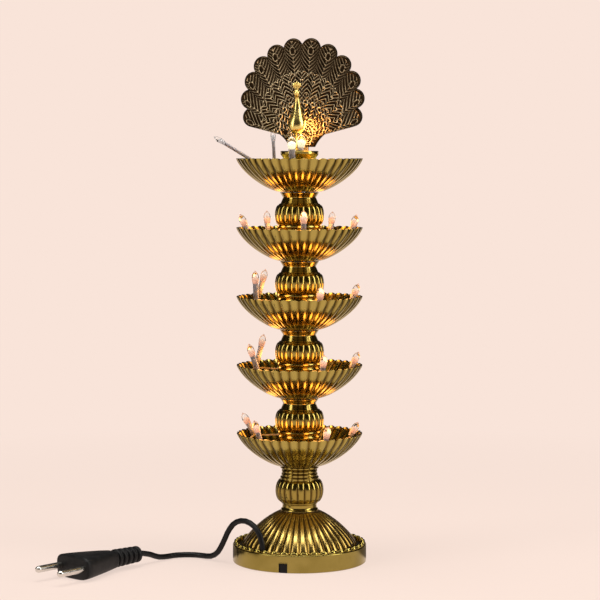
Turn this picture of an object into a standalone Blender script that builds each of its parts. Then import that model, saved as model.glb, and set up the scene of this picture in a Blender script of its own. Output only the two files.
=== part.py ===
"""Electric five-tier samai lamp: fluted bowls stacked on a lamp pipe, with a peacock finial.

Metres, +Z up. The origin is the middle of the underside and the lamp's front faces -Y.
Angles round the lamp are in degrees from the front, turning towards +X.
"""

import math

import bmesh
import bpy
from mathutils import Matrix, Vector

# Fits between pieces
seat_gap = 0.0003
pipe_clearance = 0.00035

# Base shell
base_radius = 0.0404
base_wall_height = 0.0104
base_height = 0.0306
base_wall = 0.0018
base_ceiling = 0.0025
base_seat_radius = 0.0112
ledge_width = 0.0058
dome_fullness = 1.12
dome_flutes = 40
dome_flute_depth = 0.0011
bead_inset = 0.0020
bead_width = 0.0032
bead_rise = 0.0016
bead_dip = 0.0010
bead_pinch = 0.0003

# Bottom cover, its locating tab and its screws
cover_thickness = 0.0018
notch_width = 0.0052
notch_height = 0.0056
tab_recess = 0.0006
tab_depth = 0.0034
screw_inset = 0.0074
screw_angles = (60, 180, 300)
screw_head_radius = 0.0024
screw_shank_radius = 0.0012
screw_length = 0.0070
screw_recess = 0.0003
screw_head_edge = 0.0002
boss_radius = 0.0031

# Lamp pipe with its nuts and washers
pipe_radius = 0.00485
pipe_bore_radius = 0.0035
pipe_end = 0.0020
nut_across_flats = 0.0140
nut_thickness = 0.0030
washer_thickness = 0.0010
washer_radius = 0.0079

# Base stem
base_stem_neck_radius = 0.0106
base_stem_neck_height = 0.0051
base_stem_ball_radius = 0.0146
base_stem_ball_height = 0.0140
base_stem_ring_radius = 0.0117
base_stem_ring_height = 0.0032
base_stem_groove_radius = 0.0105
base_stem_collar_height = 0.0045

# Stems between the bowls
stem_foot_radius = 0.0118
stem_foot_height = 0.0196
stem_ball_radius = 0.0148
stem_ball_height = 0.0120
stem_shoulder_radius = 0.0125
stem_neck_radius = 0.0100
stem_neck_height = 0.0049
stem_collar_radius = 0.0117
stem_collar_height = 0.0026
stem_wall = 0.0018
stem_flutes = 20
stem_flute_depth = 0.0010
wire_notch_width = 0.0052
wire_notch_height = 0.0030
wire_notch_angle = 140

# Bowls
tier_count = 5
bowl_rim_radius = 0.0380
bowl_height = 0.0200
bowl_floor = 0.0016
bowl_wall = 0.0012
bowl_foot_margin = 0.0004
bowl_fullness = 1.4
bowl_flutes = 40
bowl_flute_depth = 0.0010

# Rice bulbs in their sleeves: angle round the bowl, outward lean, rise above the rim
bulb_radius = 0.0021
bulb_length = 0.0090
sleeve_radius = 0.0016
sleeve_foot_depth = 0.0030
bulb_places = (
    ((43, 20, 0.0085), (113, 30, 0.0070), (185, 20, 0.0110), (257, 33, 0.0120), (326, 20, 0.0115)),
    ((39, 15, 0.0095), (110, 25, 0.0085), (181, 20, 0.0110), (249, -16, 0.0180), (322, 21, 0.0160)),
    ((36, 10, 0.0080), (104, 22, 0.0085), (177, 20, 0.0110), (246, -19, 0.0165), (320, 2, 0.0165)),
    ((18, 10, 0.0115), (97, 16, 0.0085), (157, 10, 0.0092), (232, 4, 0.0095), (297, 25, 0.0095)),
    ((6, 10, 0.0135), (223, 6, 0.0180), (306, 60, 0.0260)),
)
bird_bulb_height = 0.0098
bird_bulb_place = (0.0031, -0.0084)

# Leads from bulb to bulb, and up the pipe
lead_radius = 0.0006
lead_sag = 0.0018
lead_step_angle = 25
riser_radius = 0.0012
riser_bends = (0.0030, 0.0070, 0.0110)

# Pedestal of the finial
pedestal_radius = 0.0098
pedestal_wall = 0.0012
pedestal_height = 0.0225
pedestal_disc_radius = 0.0114
pedestal_disc_thickness = 0.0020
pedestal_cavity_height = 0.0150
socket_depth = 0.0035

# Peacock body
bird_offset = -0.0034
bird_peg_radius = 0.0016
bird_foot_radius = 0.0030
bird_foot_height = 0.0012
bird_leg_radius = 0.0008
bird_leg_spread = 0.0013
bird_body_height = 0.0133
bird_body_radius = 0.0042
bird_neck_rise = 0.0175
bird_head_radius = 0.0019
bird_breast_forward = 0.0036
bird_lean_back = 0.0018
bird_head_forward = 0.0034
crest_height = 0.0050
crest_half_width = 0.0023
crest_thickness = 0.0012

# Peacock tail
tail_offset = 0.0070
tail_thickness = 0.0024
tail_ridge = 0.0010
tail_centre_height = 0.0295
tail_lobes = 12
tail_lobe_spacing = 19.4
tail_lobe_circle = 0.0321
tail_lobe_radius = 0.0058
tail_root_half_width = 0.0075
tail_root_height = 0.0026
tail_tab_half_width = 0.0038

# Terminal block in the base
block_length = 0.0180
block_width = 0.0110
block_height = 0.0080
block_edge = 0.0006
block_place = (-0.0060, -0.0060)

# Mains flex: its hole in the ledge, then its route as steps from the hole
# Heights are above the ledge in the loop, below the ledge inside, and above the floor further on
cord_diameter = 0.0034
cord_hole_clearance = 0.0004
cord_hole_inset = 0.0048
cord_hole_angle = 336
cord_loop = (
    (0.0000, 0.0000, -0.0014),
    (0.0000, 0.0000, 0.0021),
    (-0.0017, 0.0009, 0.0095),
    (-0.0065, 0.0034, 0.0149),
    (-0.0131, 0.0068, 0.0169),
    (-0.0197, 0.0102, 0.0149),
    (-0.0245, 0.0127, 0.0095),
    (-0.0283, 0.0147, 0.0021),
)
cord_on_floor = (
    (-0.0325, 0.0168, 0.0056),
    (-0.0369, 0.0191, 0.0026),
    (-0.0414, 0.0215, 0.0018),
    (-0.0464, 0.0231, 0.0018),
    (-0.0517, 0.0232, 0.0018),
    (-0.0568, 0.0216, 0.0018),
    (-0.0611, 0.0186, 0.0018),
    (-0.0642, 0.0144, 0.0018),
    (-0.0675, 0.0082, 0.0026),
    (-0.0708, 0.0020, 0.0052),
    (-0.0741, -0.0042, 0.0069),
    (-0.0755, -0.0068, 0.0070),
)
cord_points = 28
inner_lead_drop = (
    (0.0000, 0.0000, -0.0001),
    (0.0000, 0.0000, -0.0014),
    (0.0004, 0.0012, -0.0031),
    (0.0018, 0.0045, -0.0040),
)
inner_lead_entry = 0.0032
inner_lead_height = 0.0029

# Plug: length along its axis from the cord end
plug_heading = 242
plug_sleeve_length = 0.0200
plug_ribs = 5
plug_rib_radius = 0.0049
plug_rib_flare = 0.0007
plug_rib_depth = 0.0013
plug_body_length = 0.0320
plug_neck_half_width = 0.0056
plug_half_width = 0.0139
plug_half_thickness = 0.0070
plug_neck_half_thickness = 0.0048
pin_radius = 0.0020
pin_spacing = 0.0190
pin_length = 0.0190
pin_seat = 0.0080

# Heights and radii that follow from the sizes above
base_stem_height = (base_stem_neck_height + base_stem_ball_height + base_stem_ring_height
                    + base_stem_collar_height)
stem_height = stem_foot_height + stem_ball_height + stem_neck_height + stem_collar_height
base_stem_z = base_height + seat_gap
first_bowl_z = base_stem_z + base_stem_height + seat_gap
tier_pitch = bowl_floor + seat_gap + stem_height + seat_gap
top_floor_z = first_bowl_z + (tier_count - 1) * tier_pitch + bowl_floor
pedestal_z = top_floor_z + seat_gap
pipe_hole_radius = pipe_radius + pipe_clearance
bowl_foot_radius = stem_foot_radius + bowl_foot_margin
dome_foot_radius = base_radius - ledge_width
screw_circle_radius = base_radius - screw_inset
cord_hole_radius = cord_diameter / 2 + cord_hole_clearance
cavity_ceiling_z = base_height - base_ceiling
ledge_underside_z = base_wall_height - base_wall
cover_radius = base_radius - base_wall - seat_gap
lead_end_radius = washer_radius + lead_radius * 2
plug_length = plug_sleeve_length + plug_body_length
samples_per_flute = 2
cavity_steps = 32
pipe_steps = 12
small_steps = 12
screw_steps = 8
overrun = 0.0010


# Collections and materials

def clear_scene():
    for item in list(bpy.data.objects):
        bpy.data.objects.remove(item, do_unlink=True)


def new_collection(name):
    collection = bpy.data.collections.new(name)
    bpy.context.scene.collection.children.link(collection)
    return collection


def new_material(name, colour, roughness, metallic):
    material = bpy.data.materials.new(name)
    material.use_nodes = True
    shader = material.node_tree.nodes["Principled BSDF"]
    shader.inputs["Base Color"].default_value = (*colour, 1)
    shader.inputs["Roughness"].default_value = roughness
    shader.inputs["Metallic"].default_value = metallic
    return material


clear_scene()
lamp_parts = new_collection("electric_samai_lamp")
cutters = new_collection("cutters")
gold = new_material("gold_plating", (0.62, 0.42, 0.10), 0.18, 1.0)
antique_gold = new_material("antique_gold", (0.34, 0.24, 0.09), 0.35, 1.0)
steel = new_material("plated_steel", (0.55, 0.55, 0.55), 0.30, 1.0)
nickel = new_material("nickel", (0.70, 0.68, 0.63), 0.22, 1.0)
black_plastic = new_material("black_plastic", (0.012, 0.012, 0.013), 0.45, 0.0)
black_flex = new_material("black_flex", (0.010, 0.010, 0.011), 0.50, 0.0)
warm_bulb = new_material("warm_bulb", (0.95, 0.72, 0.52), 0.15, 0.0)
clear_lead = new_material("clear_lead", (0.55, 0.52, 0.48), 0.35, 0.0)
block_plastic = new_material("block_plastic", (0.75, 0.73, 0.68), 0.45, 0.0)


# Shared modelling steps

def add_object(name, mesh, material, parent=None, location=(0, 0, 0), turn=0.0):
    item = bpy.data.objects.new(name, mesh)
    lamp_parts.objects.link(item)
    item.location = location
    item.rotation_euler = (0, 0, turn)
    item.parent = parent
    if material and not mesh.materials:
        mesh.materials.append(material)
    return item


def add_empty(name, location, turn=0.0):
    empty = bpy.data.objects.new(name, None)
    lamp_parts.objects.link(empty)
    empty.location = location
    empty.rotation_euler = (0, 0, turn)
    return empty


def evaluated_mesh(item):
    """The object's mesh with its modifiers applied, and the object removed."""
    bpy.context.view_layer.update()
    graph = bpy.context.evaluated_depsgraph_get()
    mesh = bpy.data.meshes.new_from_object(item.evaluated_get(graph))
    name = item.name
    bpy.data.objects.remove(item, do_unlink=True)
    mesh.name = name
    return mesh


def smooth(mesh, angle=40):
    mesh.shade_smooth()
    mesh.set_sharp_from_angle(angle=math.radians(angle))
    return mesh


def turned(name, profile, steps, ring=False):
    """A profile of (radius, z) points turned about Z, listed down its outer side."""
    mesh = bpy.data.meshes.new(name)
    points = [(radius, 0, z) for radius, z in profile]
    edges = [(i, i + 1) for i in range(len(points) - 1)]
    if ring:
        edges.append((len(points) - 1, 0))
    mesh.from_pydata(points, edges, [])
    item = bpy.data.objects.new(name, mesh)
    lamp_parts.objects.link(item)
    screw = item.modifiers.new("turn", "SCREW")
    screw.axis = "Z"
    screw.steps = steps
    screw.render_steps = steps
    screw.use_merge_vertices = True
    screw.merge_threshold = 0.00001
    return evaluated_mesh(item)


def from_bmesh(name, shape):
    mesh = bpy.data.meshes.new(name)
    bmesh.ops.recalc_face_normals(shape, faces=shape.faces)
    shape.to_mesh(mesh)
    shape.free()
    return mesh


def cylinder_mesh(name, radius, low, high, steps, centre=(0, 0)):
    shape = bmesh.new()
    place = Matrix.Translation((centre[0], centre[1], (low + high) / 2))
    bmesh.ops.create_cone(shape, cap_ends=True, segments=steps, radius1=radius, radius2=radius,
                          depth=high - low, matrix=place)
    return from_bmesh(name, shape)


def box_mesh(name, low, high):
    shape = bmesh.new()
    middle = [(a + b) / 2 for a, b in zip(low, high)]
    size = [b - a for a, b in zip(low, high)]
    place = Matrix.Translation(middle) @ Matrix.Diagonal((*size, 1))
    bmesh.ops.create_cube(shape, size=1, matrix=place)
    return from_bmesh(name, shape)


def lofted(name, rings):
    """A closed skin over rings that all have the same number of points."""
    shape = bmesh.new()
    rows = [[shape.verts.new(point) for point in ring] for ring in rings]
    count = len(rings[0])
    for lower, upper in zip(rows, rows[1:]):
        for i in range(count):
            j = (i + 1) % count
            shape.faces.new((lower[i], lower[j], upper[j], upper[i]))
    shape.faces.new(rows[0])
    shape.faces.new(rows[-1])
    return from_bmesh(name, shape)


def combine(base_mesh, tools, operation):
    """The mesh with each tool mesh cut from it or joined to it."""
    item = bpy.data.objects.new(base_mesh.name, base_mesh)
    lamp_parts.objects.link(item)
    for number, tool in enumerate(tools):
        helper = bpy.data.objects.new(f"{base_mesh.name}_{operation.lower()}_{number}", tool)
        cutters.objects.link(helper)
        helper.hide_render = True
        helper.display_type = "WIRE"
        step = item.modifiers.new(helper.name, "BOOLEAN")
        step.operation = operation
        step.solver = "EXACT"
        step.object = helper
    return evaluated_mesh(item)


def cut(base_mesh, *tools):
    return combine(base_mesh, tools, "DIFFERENCE")


def join(base_mesh, *tools):
    return combine(base_mesh, tools, "UNION")


def moved(mesh, matrix):
    mesh.transform(matrix)
    return mesh


def turn_z(degrees):
    return Matrix.Rotation(math.radians(degrees), 4, "Z")


def around(radius, degrees, z=0.0):
    """A point at a radius and an angle from the front."""
    angle = math.radians(degrees)
    return Vector((radius * math.sin(angle), -radius * math.cos(angle), z))


def tube(name, points, radius, material, resolution, parent=None):
    curve = bpy.data.curves.new(name, "CURVE")
    curve.dimensions = "3D"
    curve.bevel_depth = radius
    curve.bevel_resolution = resolution
    curve.use_fill_caps = True
    spline = curve.splines.new("POLY")
    spline.points.add(len(points) - 1)
    for place, point in zip(spline.points, points):
        place.co = (*point, 1)
    return add_object(name, curve, material, parent)


def smooth_route(points, count):
    """Evenly spaced points on a smooth curve through the route's own points."""
    route = [Vector(point) for point in points]
    ends = [route[0] * 2 - route[1]] + route + [route[-1] * 2 - route[-2]]
    dense = []
    for a, b, c, d in zip(ends, ends[1:], ends[2:], ends[3:]):
        for step in range(20):
            t = step / 20
            dense.append(b + 0.5 * t * ((c - a) + t * ((2 * a - 5 * b + 4 * c - d)
                                                       + t * (3 * (b - c) + d - a))))
    dense.append(route[-1])
    travelled = [0.0]
    for start, end in zip(dense, dense[1:]):
        travelled.append(travelled[-1] + (end - start).length)
    result = []
    index = 0
    for number in range(count):
        target = travelled[-1] * number / (count - 1)
        while index < len(dense) - 2 and travelled[index + 1] < target:
            index += 1
        share = (target - travelled[index]) / (travelled[index + 1] - travelled[index])
        result.append(dense[index].lerp(dense[index + 1], share))
    return result


def swell(inner_radius, outer_radius, flat_z, steep_z, fullness, degrees):
    """A point on a quarter swell that lies flat at flat_z and stands steep at steep_z."""
    turn = math.radians(degrees)
    bend = 2 / fullness
    radius = inner_radius + (outer_radius - inner_radius) * max(math.sin(turn), 0) ** bend
    z = steep_z + (flat_z - steep_z) * max(math.cos(turn), 0) ** bend
    return radius, z


def next_on_ring(vertex):
    """The neighbour one step counter-clockwise on the same ring of a turned mesh."""
    for edge in vertex.link_edges:
        other = edge.other_vert(vertex)
        level = abs(other.co.z - vertex.co.z) < 1e-7
        ahead = vertex.co.x * other.co.y - vertex.co.y * other.co.x > 0.01 * vertex.co.xy.length_squared
        if level and ahead:
            return other
    return None


def flute(mesh, count, depth_at):
    """Press grooves into a turned mesh, to the depth that depth_at gives for a radius and height.

    A ring where that depth is zero is plain, and keeps one point for each flute.
    """
    shape = bmesh.new()
    shape.from_mesh(mesh)
    merged = {}
    for vertex in shape.verts:
        radius = vertex.co.xy.length
        if radius < seat_gap:
            continue
        groove = 0.5 - 0.5 * math.cos(count * math.atan2(vertex.co.y, vertex.co.x))
        depth = depth_at(radius, vertex.co.z)
        if depth > 0:
            scale = 1 - depth * groove / radius
            vertex.co.x *= scale
            vertex.co.y *= scale
        elif groove > 0.5:
            merged[vertex] = next_on_ring(vertex)
    bmesh.ops.weld_verts(shape, targetmap=merged)
    return from_bmesh(mesh.name, shape)


# Base

def on_dome_curve(degrees):
    return swell(base_seat_radius, dome_foot_radius, base_height, base_wall_height, dome_fullness, degrees)


def base_outer():
    """Fluted dome, beaded edge and plain wall, still solid."""
    bead_middle = base_radius - bead_inset
    dome = [on_dome_curve(turn) for turn in (0, 34, 62, 90)]
    edge = [(bead_middle - bead_width / 2, base_wall_height),
            (bead_middle, base_wall_height + bead_rise),
            (base_radius, base_wall_height),
            (base_radius, 0)]
    profile = [(0, base_height)] + dome + edge + [(0, 0)]
    mesh = turned("base_outer", profile, dome_flutes * samples_per_flute)

    def on_bead(radius, z):
        return radius > dome_foot_radius * 1.01 and z > base_wall_height + bead_rise / 2

    def depth(radius, z):
        if on_bead(radius, z):
            return bead_pinch
        on_dome = base_seat_radius * 1.01 < radius < dome_foot_radius * 1.01
        return dome_flute_depth if on_dome and z > base_wall_height / 2 else 0.0

    mesh = flute(mesh, dome_flutes, depth)
    for vertex in mesh.vertices:
        if on_bead(vertex.co.xy.length, vertex.co.z):
            angle = math.atan2(vertex.co.y, vertex.co.x)
            vertex.co.z -= bead_dip * (0.5 - 0.5 * math.cos(dome_flutes * angle))
    return mesh


def base_cavity():
    inner_foot = dome_foot_radius - base_wall * 1.7
    waist = on_dome_curve(40)
    profile = [(0, cavity_ceiling_z),
               (base_seat_radius, cavity_ceiling_z),
               (waist[0] - base_wall, waist[1] - base_wall * 1.6),
               (inner_foot, ledge_underside_z),
               (base_radius - base_wall, ledge_underside_z),
               (base_radius - base_wall, -overrun),
               (0, -overrun)]
    return turned("base_cavity", profile, cavity_steps)


def screw_points():
    return [around(screw_circle_radius, angle) for angle in screw_angles]


def cord_exit():
    """The middle of the hole in the ledge, at the floor's height."""
    return around(base_radius - cord_hole_inset, cord_hole_angle)


def base_shell():
    bosses = [cylinder_mesh("boss", boss_radius, cover_thickness + seat_gap,
                            ledge_underside_z + base_wall / 2, screw_steps, point.xy)
              for point in screw_points()]
    pilots = [cylinder_mesh("pilot", screw_shank_radius + seat_gap, 0,
                            screw_recess + screw_length + seat_gap, screw_steps, point.xy)
              for point in screw_points()]
    notch = box_mesh("notch", (-notch_width / 2, -base_radius - overrun, -overrun),
                     (notch_width / 2, -base_radius + base_wall + overrun, notch_height))
    cord_hole = cylinder_mesh("cord_hole", cord_hole_radius, ledge_underside_z - overrun,
                              base_wall_height + bead_rise + overrun, small_steps, cord_exit().xy)
    pipe_hole = cylinder_mesh("pipe_hole", pipe_hole_radius, cavity_ceiling_z - overrun,
                              base_height + overrun, pipe_steps)
    shell = cut(base_outer(), pipe_hole, cord_hole, notch, base_cavity())
    shell = cut(join(shell, *bosses), *pilots)
    add_object("base_shell", smooth(shell), gold)


def screw_profile(extra):
    """Countersunk screw, pointing up, or its hole when extra is a clearance."""
    slope = screw_head_radius - screw_shank_radius
    low = screw_recess - (overrun if extra else screw_head_edge)
    return [(0, screw_recess + screw_length + extra),
            (screw_shank_radius + extra, screw_recess + screw_length + extra),
            (screw_shank_radius + extra, screw_recess + slope),
            (screw_head_radius + extra, screw_recess),
            (screw_head_radius + extra, low),
            (0, low)]


def bottom_cover():
    plate = cylinder_mesh("plate", cover_radius, 0, cover_thickness, cavity_steps)
    tab_half = notch_width / 2 - seat_gap
    tab_front = -base_radius + tab_recess
    tab = box_mesh("tab", (-tab_half, tab_front, 0),
                   (tab_half, tab_front + tab_depth, notch_height - seat_gap))
    plate = join(plate, tab)
    holes = [moved(turned("screw_hole", screw_profile(seat_gap), screw_steps), Matrix.Translation(point))
             for point in screw_points()]
    add_object("bottom_cover", smooth(cut(plate, *holes)), black_plastic)
    for number, point in enumerate(screw_points(), 1):
        body = smooth(turned("cover_screw", screw_profile(0), screw_steps))
        add_object(f"cover_screw_{number}", body, steel, location=point)


# Pipe, nuts and washers

def lamp_pipe():
    low = cavity_ceiling_z - seat_gap * 3 - washer_thickness - nut_thickness - pipe_end
    high = top_floor_z + seat_gap * 3 + washer_thickness + nut_thickness + pipe_end
    profile = [(pipe_radius, high), (pipe_radius, low), (pipe_bore_radius, low), (pipe_bore_radius, high)]
    add_object("lamp_pipe", smooth(turned("lamp_pipe", profile, pipe_steps, ring=True)), steel)


def pipe_nut(name, low):
    high = low + nut_thickness
    nut = cylinder_mesh(name, nut_across_flats / math.sqrt(3), low, high, 6)
    hole = cylinder_mesh("nut_hole", pipe_hole_radius, low - overrun, high + overrun, pipe_steps)
    add_object(name, smooth(cut(nut, hole)), steel)


def pipe_washer(name, low):
    high = low + washer_thickness
    profile = [(washer_radius, high),
               (washer_radius, low),
               (pipe_hole_radius, low),
               (pipe_hole_radius, high)]
    add_object(name, smooth(turned(name, profile, pipe_steps, ring=True)), steel)


def pipe_fixings():
    lamp_pipe()
    washer_low = cavity_ceiling_z - seat_gap - washer_thickness
    pipe_washer("pipe_washer_bottom", washer_low)
    pipe_nut("pipe_nut_bottom", washer_low - seat_gap - nut_thickness)
    pipe_washer("pipe_washer_top", top_floor_z + seat_gap)
    pipe_nut("pipe_nut_top", top_floor_z + seat_gap * 2 + washer_thickness)


# Stems

def ball_rows(low, height, end_radius, radius):
    """Rows of a fluted ball, listed from its top to its bottom."""
    rows = []
    for degrees in (55, 0, -55):
        turn = math.radians(degrees)
        row_radius = end_radius + (radius - end_radius) * math.cos(turn)
        rows.append((row_radius, low + height / 2 + height / 2 * math.sin(turn)))
    return rows


def ball_depth(low, height):
    def depth(radius, z):
        return stem_flute_depth if low < z < low + height else 0.0
    return depth


def base_stem():
    ball_low = base_stem_neck_height
    ring_low = ball_low + base_stem_ball_height
    collar_low = ring_low + base_stem_ring_height
    ball_end = (base_stem_neck_radius + base_stem_ring_radius) / 2
    profile = [(0, base_stem_height),
               (stem_collar_radius, base_stem_height),
               (stem_collar_radius, collar_low + base_stem_collar_height / 3),
               (base_stem_groove_radius, collar_low),
               (base_stem_ring_radius, ring_low)]
    profile += ball_rows(ball_low, base_stem_ball_height, ball_end, base_stem_ball_radius)
    profile += [(base_stem_neck_radius, ball_low),
                (base_stem_neck_radius, 0),
                (0, 0)]
    mesh = turned("base_stem", profile, stem_flutes * samples_per_flute)
    mesh = flute(mesh, stem_flutes, ball_depth(ball_low, base_stem_ball_height))
    hole = cylinder_mesh("pipe_hole", pipe_hole_radius, -overrun, base_stem_height + overrun, pipe_steps)
    add_object("base_stem", smooth(cut(mesh, hole)), gold, location=(0, 0, base_stem_z))


def wire_notch(radius, wall):
    """Cutter for the opening at a hollow post's foot that the leads pass through."""
    notch = box_mesh("wire_notch", (-wire_notch_width / 2, -radius - overrun, -overrun),
                     (wire_notch_width / 2, -radius + wall + overrun, wire_notch_height))
    return moved(notch, turn_z(wire_notch_angle))


def stem_mesh():
    """A hollow stem that stands on a bowl's floor, with a notch for the leads at its foot."""
    shoulder_z = stem_foot_height + stem_ball_height
    neck_z = shoulder_z + stem_neck_height
    profile = [(0, stem_height),
               (stem_collar_radius, stem_height),
               (stem_neck_radius, neck_z),
               (stem_shoulder_radius, shoulder_z)]
    profile += ball_rows(stem_foot_height, stem_ball_height, stem_shoulder_radius, stem_ball_radius)
    profile += [(stem_foot_radius, stem_foot_height),
                (stem_foot_radius, 0),
                (0, 0)]
    mesh = turned("stem", profile, stem_flutes * samples_per_flute)
    mesh = flute(mesh, stem_flutes, ball_depth(stem_foot_height, stem_ball_height))
    hollow_radius = stem_foot_radius - stem_wall
    hollow = [(0, stem_height + overrun),
              (pipe_hole_radius, stem_height + overrun),
              (pipe_hole_radius, shoulder_z),
              (hollow_radius, stem_foot_height + stem_ball_height / 3),
              (hollow_radius, -overrun),
              (0, -overrun)]
    notch = wire_notch(stem_foot_radius, stem_wall)
    return smooth(cut(mesh, turned("stem_hollow", hollow, pipe_steps), notch))


# Bowls

def bowl_groove(radius):
    share = (radius - bowl_foot_radius) / (bowl_rim_radius - bowl_foot_radius)
    return bowl_flute_depth * max(share, 0.0)


def bowl_inside():
    """The bowl's inner wall, from the rim to the floor."""
    inner_rim = bowl_rim_radius - bowl_wall
    return [swell(bowl_foot_radius, inner_rim, bowl_floor, bowl_height, bowl_fullness, turn)
            for turn in (90, 48, 0)]


def bowl_mesh():
    outside = [swell(bowl_foot_radius, bowl_rim_radius, 0, bowl_height, bowl_fullness, turn)
               for turn in (90, 60, 34, 0)]
    profile = [(0, bowl_floor)] + bowl_inside()[::-1] + outside + [(0, 0)]
    mesh = turned("bowl", profile, bowl_flutes * samples_per_flute)
    mesh = flute(mesh, bowl_flutes, lambda radius, z: bowl_groove(radius))
    hole = cylinder_mesh("pipe_hole", pipe_hole_radius, -overrun, bowl_floor + overrun, pipe_steps)
    return smooth(cut(mesh, hole))


def wall_radius(z):
    """Clear radius inside a bowl's flutes at a height above its underside."""
    wall = bowl_inside()
    for upper, lower in zip(wall, wall[1:]):
        if z >= lower[1]:
            share = (z - lower[1]) / (upper[1] - lower[1])
            radius = lower[0] + share * (upper[0] - lower[0])
            return radius - bowl_groove(radius)
    return bowl_foot_radius


def wall_height(radius):
    """Height of a bowl's inner wall at a radius, clear of its flutes."""
    low = bowl_floor
    high = bowl_height
    for _ in range(30):
        middle = (low + high) / 2
        if wall_radius(middle) < radius:
            low = middle
        else:
            high = middle
    return high


# Bulbs and their leads

def bulb_foot(lean):
    """Radius and height of a sleeve's foot, set against the bowl's wall and clear of its rim."""
    tilt = math.radians(lean)
    height = bowl_height - sleeve_foot_depth * math.cos(tilt)
    lowest = height - sleeve_radius * math.sin(tilt)
    at_foot = wall_radius(lowest) - seat_gap - sleeve_radius * math.cos(tilt)
    at_rim = (wall_radius(bowl_height) - seat_gap - sleeve_radius / math.cos(tilt)
              - (bowl_height - height) * math.tan(tilt))
    return min(at_foot, at_rim), height


def bulb_mesh(name, length):
    """A capsule on its sleeve, standing on the sleeve's foot."""
    neck = max(length - bulb_length, sleeve_radius / 2)
    profile = [(0, length),
               (bulb_radius * 0.72, length - bulb_length * 0.10),
               (bulb_radius, length - bulb_length * 0.32),
               (sleeve_radius, neck),
               (sleeve_radius, 0),
               (0, 0)]
    return smooth(turned(name, profile, 6), 60)


def bulbs_of_tier(tier, parent):
    for number, (angle, lean, rise) in enumerate(bulb_places[tier - 1], 1):
        name = f"bulb_{tier}_{number}"
        radius, height = bulb_foot(lean)
        item = add_object(name, bulb_mesh(name, sleeve_foot_depth + rise), warm_bulb, parent)
        item.location = around(radius, angle, height)
        item.rotation_euler = (math.radians(lean), 0, math.radians(angle))


def lead_under_bulb(lean):
    tilt = math.radians(lean)
    radius, height = bulb_foot(lean)
    drop = lead_radius + seat_gap
    return radius - drop * math.sin(tilt), height - drop * math.cos(tilt)


def lead_points(tier):
    """One unbroken lead: out of the notch in the post, past every bulb's foot, and back in."""
    post_radius = stem_foot_radius if tier < tier_count else pedestal_radius
    stops = []
    for angle, lean, _ in bulb_places[tier - 1]:
        past_notch = (angle - wire_notch_angle) % 360
        stops.append((past_notch, *lead_under_bulb(lean)))
    stops.sort()
    side = math.degrees(lead_radius * 2 / post_radius)
    floor_z = bowl_floor + lead_radius + seat_gap
    reach = stops[0][1] - post_radius
    ends = [(side, lead_end_radius, floor_z), (side, post_radius + lead_radius, floor_z)]
    for spread, share in ((1.5, 0.35), (2.5, 0.70)):
        radius = post_radius + share * reach
        ends.append((side * spread, radius, wall_height(radius) + lead_radius * 2 + seat_gap))
    back = [(360 - turn, radius, z) for turn, radius, z in reversed(ends)]
    stops = ends[-1:] + stops + back[:1]
    points = ends[:-1]
    for here, there in zip(stops, stops[1:]):
        points.append(here)
        steps = max(1, round((there[0] - here[0]) / lead_step_angle))
        for step in range(1, steps):
            share = step / steps
            turn, radius, z = (a + (b - a) * share for a, b in zip(here, there))
            z -= lead_sag * math.sin(math.pi * share)
            points.append((turn, min(wall_radius(z) - lead_radius - seat_gap, radius), z))
    points += back
    return [around(radius, wire_notch_angle + turn, z) for turn, radius, z in points]


# Tiers

def tiers():
    shared_bowl = bowl_mesh()
    shared_stem = stem_mesh()
    for tier in range(1, tier_count + 1):
        frame = add_empty(f"tier_{tier}", (0, 0, first_bowl_z + (tier - 1) * tier_pitch))
        add_object(f"bowl_{tier}", shared_bowl, gold, frame)
        if tier < tier_count:
            add_object(f"stem_{tier}", shared_stem, gold, frame, (0, 0, bowl_floor + seat_gap))
        bulbs_of_tier(tier, frame)
        tube(f"light_lead_{tier}", lead_points(tier), lead_radius, clear_lead, 0, frame)


# Finial

def pedestal(frame):
    disc_low = pedestal_height - pedestal_disc_thickness
    profile = [(0, pedestal_height),
               (pedestal_disc_radius, pedestal_height),
               (pedestal_disc_radius, disc_low),
               (pedestal_radius, disc_low - (pedestal_disc_radius - pedestal_radius)),
               (pedestal_radius, 0),
               (pedestal_radius - pedestal_wall, 0),
               (pedestal_radius - pedestal_wall, pedestal_cavity_height),
               (0, pedestal_cavity_height)]
    mesh = turned("pedestal", profile, stem_flutes)
    socket = cylinder_mesh("socket", bird_peg_radius + seat_gap, pedestal_height - socket_depth,
                           pedestal_height + overrun, small_steps, (0, bird_offset))
    slot_half = tail_thickness / 2 + seat_gap
    slot_side = tail_tab_half_width + seat_gap
    slot = box_mesh("slot", (-slot_side, tail_offset - slot_half, pedestal_height - socket_depth),
                    (slot_side, tail_offset + slot_half, pedestal_height + overrun))
    notch = wire_notch(pedestal_radius, pedestal_wall)
    add_object("finial_pedestal", smooth(cut(mesh, socket, slot, notch)), gold, frame)


def oval(z, y, half_width, half_depth, count=8):
    ring = []
    for i in range(count):
        turn = 2 * math.pi * (i + 0.5) / count
        ring.append((half_width * math.cos(turn), y + half_depth * math.sin(turn), z))
    return ring


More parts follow.
